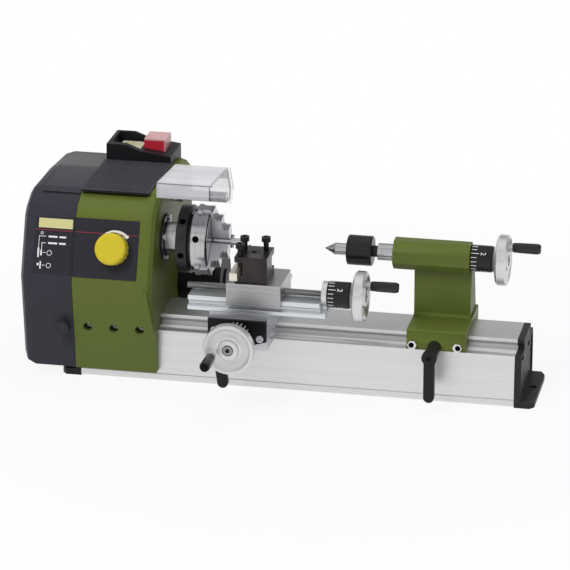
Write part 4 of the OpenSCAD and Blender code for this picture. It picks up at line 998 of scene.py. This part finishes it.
class LATHE_OT_threads(bpy.types.Operator):
    """Cut the threads of the feed screws"""

    bl_idname = "lathe.threads"
    bl_label = "Feed screws"

    def execute(self, context):
        sizes = context.scene.lathe_detail
        turns = {"top_leadscrew": TO_RIGHT, "tail_leadscrew": TO_RIGHT, "cross_leadscrew": TO_FRONT}
        for node, turn_to in turns.items():
            low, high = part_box(node)
            along = 1 if turn_to is TO_FRONT else 0
            mesh = threaded_bar(
                node + "_thread", high[along] - low[along], (high[2] - low[2]) / 2,
                sizes.thread_pitch, sizes.thread_depth, finishes["screw_steel"],
            )
            mesh.transform(Matrix.Translation(start_of(node, turn_to)) @ turn_to)
            screw = put_in_scene(node + "_thread", mesh, BODY_OF[node], None)
            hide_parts(node)
        return {"FINISHED"}


def joint_of(name):
    """A joint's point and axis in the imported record."""
    joint = next(j for j in frame["record"]["behaviour"]["joints"] if j["name"] == name)
    return Vector(joint["pos_m"]), Vector(joint["axis"])


def front_face(off):
    """A place on the leaning front face: X to the right of the speed knob, Y up the face, Z outwards."""
    spot, out = joint_of("speed_knob_turn")
    side = Vector((1, 0, 0))
    turn = Matrix((side, out.cross(side), out)).transposed().to_4x4()
    return Matrix.Translation(spot + out * off) @ turn


# Labels on the leaning front faces. Heights on them are shares of the speed knob's panel.
LABEL_WIDTH = 30.5 * MM
LABEL_THICKNESS = 0.4 * MM
LABEL_FROM_SEAM = 1.6 * MM
LABEL_FROM_BOTTOM = 1 * MM
RED_LINE = 0.75
RED_LINE_WIDTH = 0.4 * MM
RED_LINE_FROM_EDGE = 0.5 * MM
NAME_PLATE = (0.79, 0.95)
NAME_PLATE_FROM_LEFT = 2.5 * MM
NAME_PLATE_FROM_SEAM = 1.9 * MM
ARC = {"inner": 12.6 * MM, "outer_start": 12.8 * MM, "outer_end": 15.2 * MM, "start": 156, "end": 40}

# Signs of the two belt rows: bars as left in mm, bottom share, right in mm and top share
SIGN_BARS = (
    (3.2, 0.64, 8.5, 0.65), (3.2, 0.29, 3.6, 0.64), (5.6, 0.53, 8.5, 0.54), (5.6, 0.4, 6.0, 0.53),
    (2.7, 0.29, 4.1, 0.45), (5.0, 0.32, 6.2, 0.42), (6.8, 0.365, 9.0, 0.375), (2.9, 0.15, 4.4, 0.19),
    (5.0, 0.1, 6.0, 0.225), (6.8, 0.155, 9.0, 0.165), (10.5, 0.63, 17.5, 0.66), (10.5, 0.52, 17.5, 0.55),
    (19.0, 0.63, 24.0, 0.66), (19.0, 0.52, 24.0, 0.55),
)
# Rings of the pulleys as middle in mm, middle's share and radius in mm
SIGN_RINGS = ((11.8, 0.37, 2.0), (11.8, 0.16, 1.9), (5.4, 0.7, 1.1))
SIGN_LINE = 0.4


class LATHE_OT_labels(bpy.types.Operator):
    """Lay the bare plates, lines and scale marks on the leaning front faces"""

    bl_idname = "lathe.labels"
    bl_label = "Plates and lines"

    def execute(self, context):
        sizes = context.scene.lathe_detail
        low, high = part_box("control_panel_plate")
        spot, out = joint_of("speed_knob_turn")
        seam = low[0] - spot.x
        right = high[0] - spot.x
        bottom = (low[2] - spot.z) / -out.y
        top = (high[2] - spot.z) / -out.y
        tall = top - bottom
        line = bottom + tall * RED_LINE
        line_top = line + RED_LINE_WIDTH
        left = seam - LABEL_WIDTH
        label_end = seam - LABEL_FROM_SEAM
        on_cover = front_face(0)
        on_label = front_face(LABEL_THICKNESS)
        on_panel = front_face(sizes.panel_thickness)
        label = bar(left, bottom + LABEL_FROM_BOTTOM, label_end, top - LABEL_FROM_SEAM)
        name_plate = bar(
            left + NAME_PLATE_FROM_LEFT, bottom + tall * NAME_PLATE[0],
            seam - NAME_PLATE_FROM_SEAM, bottom + tall * NAME_PLATE[1],
        )
        cover_line = bar(left, line, label_end, line_top)
        panel_line = bar(seam + RED_LINE_FROM_EDGE, line, right - RED_LINE_FROM_EDGE, line_top)
        self.lay("belt_cover", "cover_plastic", (
            ("cover_label", on_cover, label, LABEL_THICKNESS, "panel_film"),
            ("cover_name_plate", on_label, name_plate, sizes.ink, "plate_ink"),
            ("cover_red_line", on_label, cover_line, sizes.ink, "red_ink"),
        ))
        signs = self.belt_signs(on_label, left, bottom, tall, sizes.ink)
        put_in_scene("cover_signs", signs, "belt_cover", None)
        self.lay("machine_bed", "panel_film", (
            ("panel_red_line", on_panel, panel_line, sizes.ink, "red_ink"),
            ("speed_arc", on_panel, arc_band(**ARC), sizes.ink, "white_ink"),
        ))
        return {"FINISHED"}

    def lay(self, body, slot, plates):
        """Puts plates on a body: each one's name, place, outline, thickness and finish."""
        for name, place, outline, thickness, finish in plates:
            put_in_scene(name, plate(name, place, outline, thickness), body, finishes[finish])

    def belt_signs(self, place, left, bottom, tall, ink):
        """Plain signs for the two belt rows: bars for the steps, and rings for the pulleys."""
        meshes = []
        for x0, y0, x1, y1 in SIGN_BARS:
            outline = bar(left + x0 * MM, bottom + tall * y0, left + x1 * MM, bottom + tall * y1)
            meshes.append(plate("sign", place, outline, ink))
        for across, up, radius in SIGN_RINGS:
            spot = place @ Matrix.Translation((left + across * MM, bottom + tall * up, 0))
            inner = (radius - SIGN_LINE) * MM
            for start in (0, 180):
                half = arc_band(inner, radius * MM, radius * MM, start, start + 180, 24)
                meshes.append(plate("sign", spot, half, ink))
        return joined("cover_signs", meshes, finishes["white_ink"])


# What bright metal mirrors, from level to overhead: a grey wall behind, and light cards in front
BEHIND = ((0.0, 1.0), (0.12, 1.0), (0.3, 0.45), (0.7, 0.35), (0.84, 0.8), (1.0, 0.9))
IN_FRONT = (
    (0.0, 1.0), (0.2, 0.8), (0.3, 0.3), (0.36, 1.0), (0.56, 1.0), (0.62, 0.35),
    (0.68, 0.85), (0.84, 0.75), (0.88, 0.35), (0.92, 0.9), (1.0, 0.9),
)
# Each lamp's place and size in metres
LAMPS = {"key": ((-0.8, -1.5, 1.9), 0.9), "fill": ((1.7, -1.1, 0.9), 1.0), "top": ((0.1, 0.3, 1.9), 1.2)}
LOOK_AT = Vector((-14.2 * MM, 0, 72.1 * MM))
SENSOR = 36
SIGHT = 20
FLOOR_REACH = 6.0
FLOOR_FADE = (0.2, 0.3)


class LATHE_OT_stage(bpy.types.Operator):
    """Set the camera, the lamps, the sky and the pale floor"""

    bl_idname = "lathe.stage"
    bl_label = "Stage"

    def execute(self, context):
        stage = context.scene.lathe_stage
        level = math.cos(stage.tilt)
        away = Vector((math.sin(stage.turn) * level, -math.cos(stage.turn) * level, math.sin(stage.tilt)))
        lens = bpy.data.cameras.new("camera")
        lens.lens = stage.lens
        lens.sensor_width = SENSOR
        lens.clip_end = SIGHT
        camera = self.aimed("camera", lens, LOOK_AT + away * stage.distance)
        context.scene.camera = camera
        for name, (place, size) in LAMPS.items():
            self.lamp(name + "_lamp", place, size, getattr(stage, name))
        self.sky(context.scene, stage.sky)
        self.floor()
        context.scene.view_settings.view_transform = "Standard"
        return {"FINISHED"}

    def aimed(self, name, data, place):
        """A camera or lamp at a place that looks at the lathe."""
        made = bpy.data.objects.new(name, data)
        made.location = place
        made.rotation_euler = (LOOK_AT - Vector(place)).to_track_quat("-Z", "Y").to_euler()
        bpy.context.scene.collection.objects.link(made)
        return made

    def lamp(self, name, place, size, power):
        """A round lamp that bright metal doesn't mirror."""
        light = bpy.data.lights.new(name, "AREA")
        light.shape = "DISK"
        light.size = size
        light.energy = power
        self.aimed(name, light, place).visible_glossy = False

    def rays(self, maker):
        """1 for what the camera sees, and 1 for what a mirror or a clear wall sees."""
        path = maker.node("ShaderNodeLightPath")
        names = ("Is Camera Ray", "Is Glossy Ray", "Is Transmission Ray")
        camera, glossy, through = (Value(maker, path.outputs[name]) for name in names)
        return camera, maker.maths("MINIMUM", glossy + through, 1.0)

    def sky(self, scene, level):
        """Even light from all round, with a plain studio for bright metal to mirror."""
        world = bpy.data.worlds.new("sky")
        scene.world = world
        world.use_nodes = True
        world.node_tree.nodes.clear()
        maker = Maker(world.node_tree)
        direction = maker.node("ShaderNodeTexCoord").outputs["Generated"]
        parts = maker.node("ShaderNodeSeparateXYZ", None, {0: direction})
        front = Value(maker, parts.outputs[1]) < 0.0
        up = {0: parts.outputs[2]}
        wall = maker.value("ShaderNodeValToRGB", {"stops": BEHIND}, up)
        cards = maker.value("ShaderNodeValToRGB", {"stops": IN_FRONT}, up)
        studio = wall * (1.0 - front) + cards * front
        camera, mirror = self.rays(maker)
        strength = camera + mirror * studio + (1.0 - camera - mirror) * level
        back = maker.node("ShaderNodeBackground", None, {"Color": (1, 1, 1, 1), "Strength": strength})
        maker.node("ShaderNodeOutputWorld", None, {"Surface": back.outputs[0]})

    def floor(self):
        """A white floor that keeps the lathe's shadow and fades into the white behind it."""
        mesh = bpy.data.meshes.new("floor")
        reach = FLOOR_REACH
        corners = [(-reach, -reach, 0), (reach, -reach, 0), (reach, reach, 0), (-reach, reach, 0)]
        mesh.from_pydata(corners, [], [range(4)])
        floor = bpy.data.objects.new("floor", mesh)
        bpy.context.scene.collection.objects.link(floor)
        f = Finish("floor_white", (0.94, 0.94, 0.94), 0.9)
        away = (f.x * f.x + f.y * f.y) ** 0.5
        far = f.held((away - FLOOR_FADE[0]) / FLOOR_FADE[1])
        glow = f.node("ShaderNodeEmission", None, {"Color": (1, 1, 1, 1), "Strength": 1.0})
        camera, mirror = self.rays(f)
        share = (camera + mirror) * (far * 0.1 + 0.9)
        sockets = {0: share, 1: f.shader.outputs[0], 2: glow.outputs[0]}
        mix = f.node("ShaderNodeMixShader", None, sockets)
        out = next(n for n in f.tree.nodes if n.type == "OUTPUT_MATERIAL")
        f.feed(out, "Surface", mix.outputs[0])
        mesh.materials.append(f.material)


class LATHE_PT_panel(bpy.types.Panel):
    """Lists the lathe's steps, colours and sizes"""

    bl_label = "Bench Lathe"
    bl_idname = "LATHE_PT_panel"
    bl_space_type = "VIEW_3D"
    bl_region_type = "UI"
    bl_category = "Lathe"

    def draw(self, context):
        for step in STEPS:
            self.layout.operator(step.bl_idname)
        for group in GROUPS:
            settings = getattr(context.scene, group)
            for name in settings.bl_rna.properties.keys():
                if name not in ("rna_type", "name"):
                    self.layout.prop(settings, name)


GROUPS = {"lathe_colours": LatheColours, "lathe_detail": LatheDetail, "lathe_stage": LatheStage}
STEPS = (LATHE_OT_stage, LATHE_OT_finishes, LATHE_OT_edges, LATHE_OT_guard, LATHE_OT_dials,
         LATHE_OT_threads, LATHE_OT_labels)
CLASSES = (*GROUPS.values(), *STEPS, LATHE_PT_panel)


def register():
    for part in CLASSES:
        bpy.utils.register_class(part)
    for name, group in GROUPS.items():
        setattr(bpy.types.Scene, name, PointerProperty(type=group))


def unregister():
    for name in GROUPS:
        delattr(bpy.types.Scene, name)
    for part in reversed(CLASSES):
        bpy.utils.unregister_class(part)


def main():
    register()
    for step in STEPS:
        group, name = step.bl_idname.split(".")
        getattr(getattr(bpy.ops, group), name)()


if __name__ == "__main__":
    main()
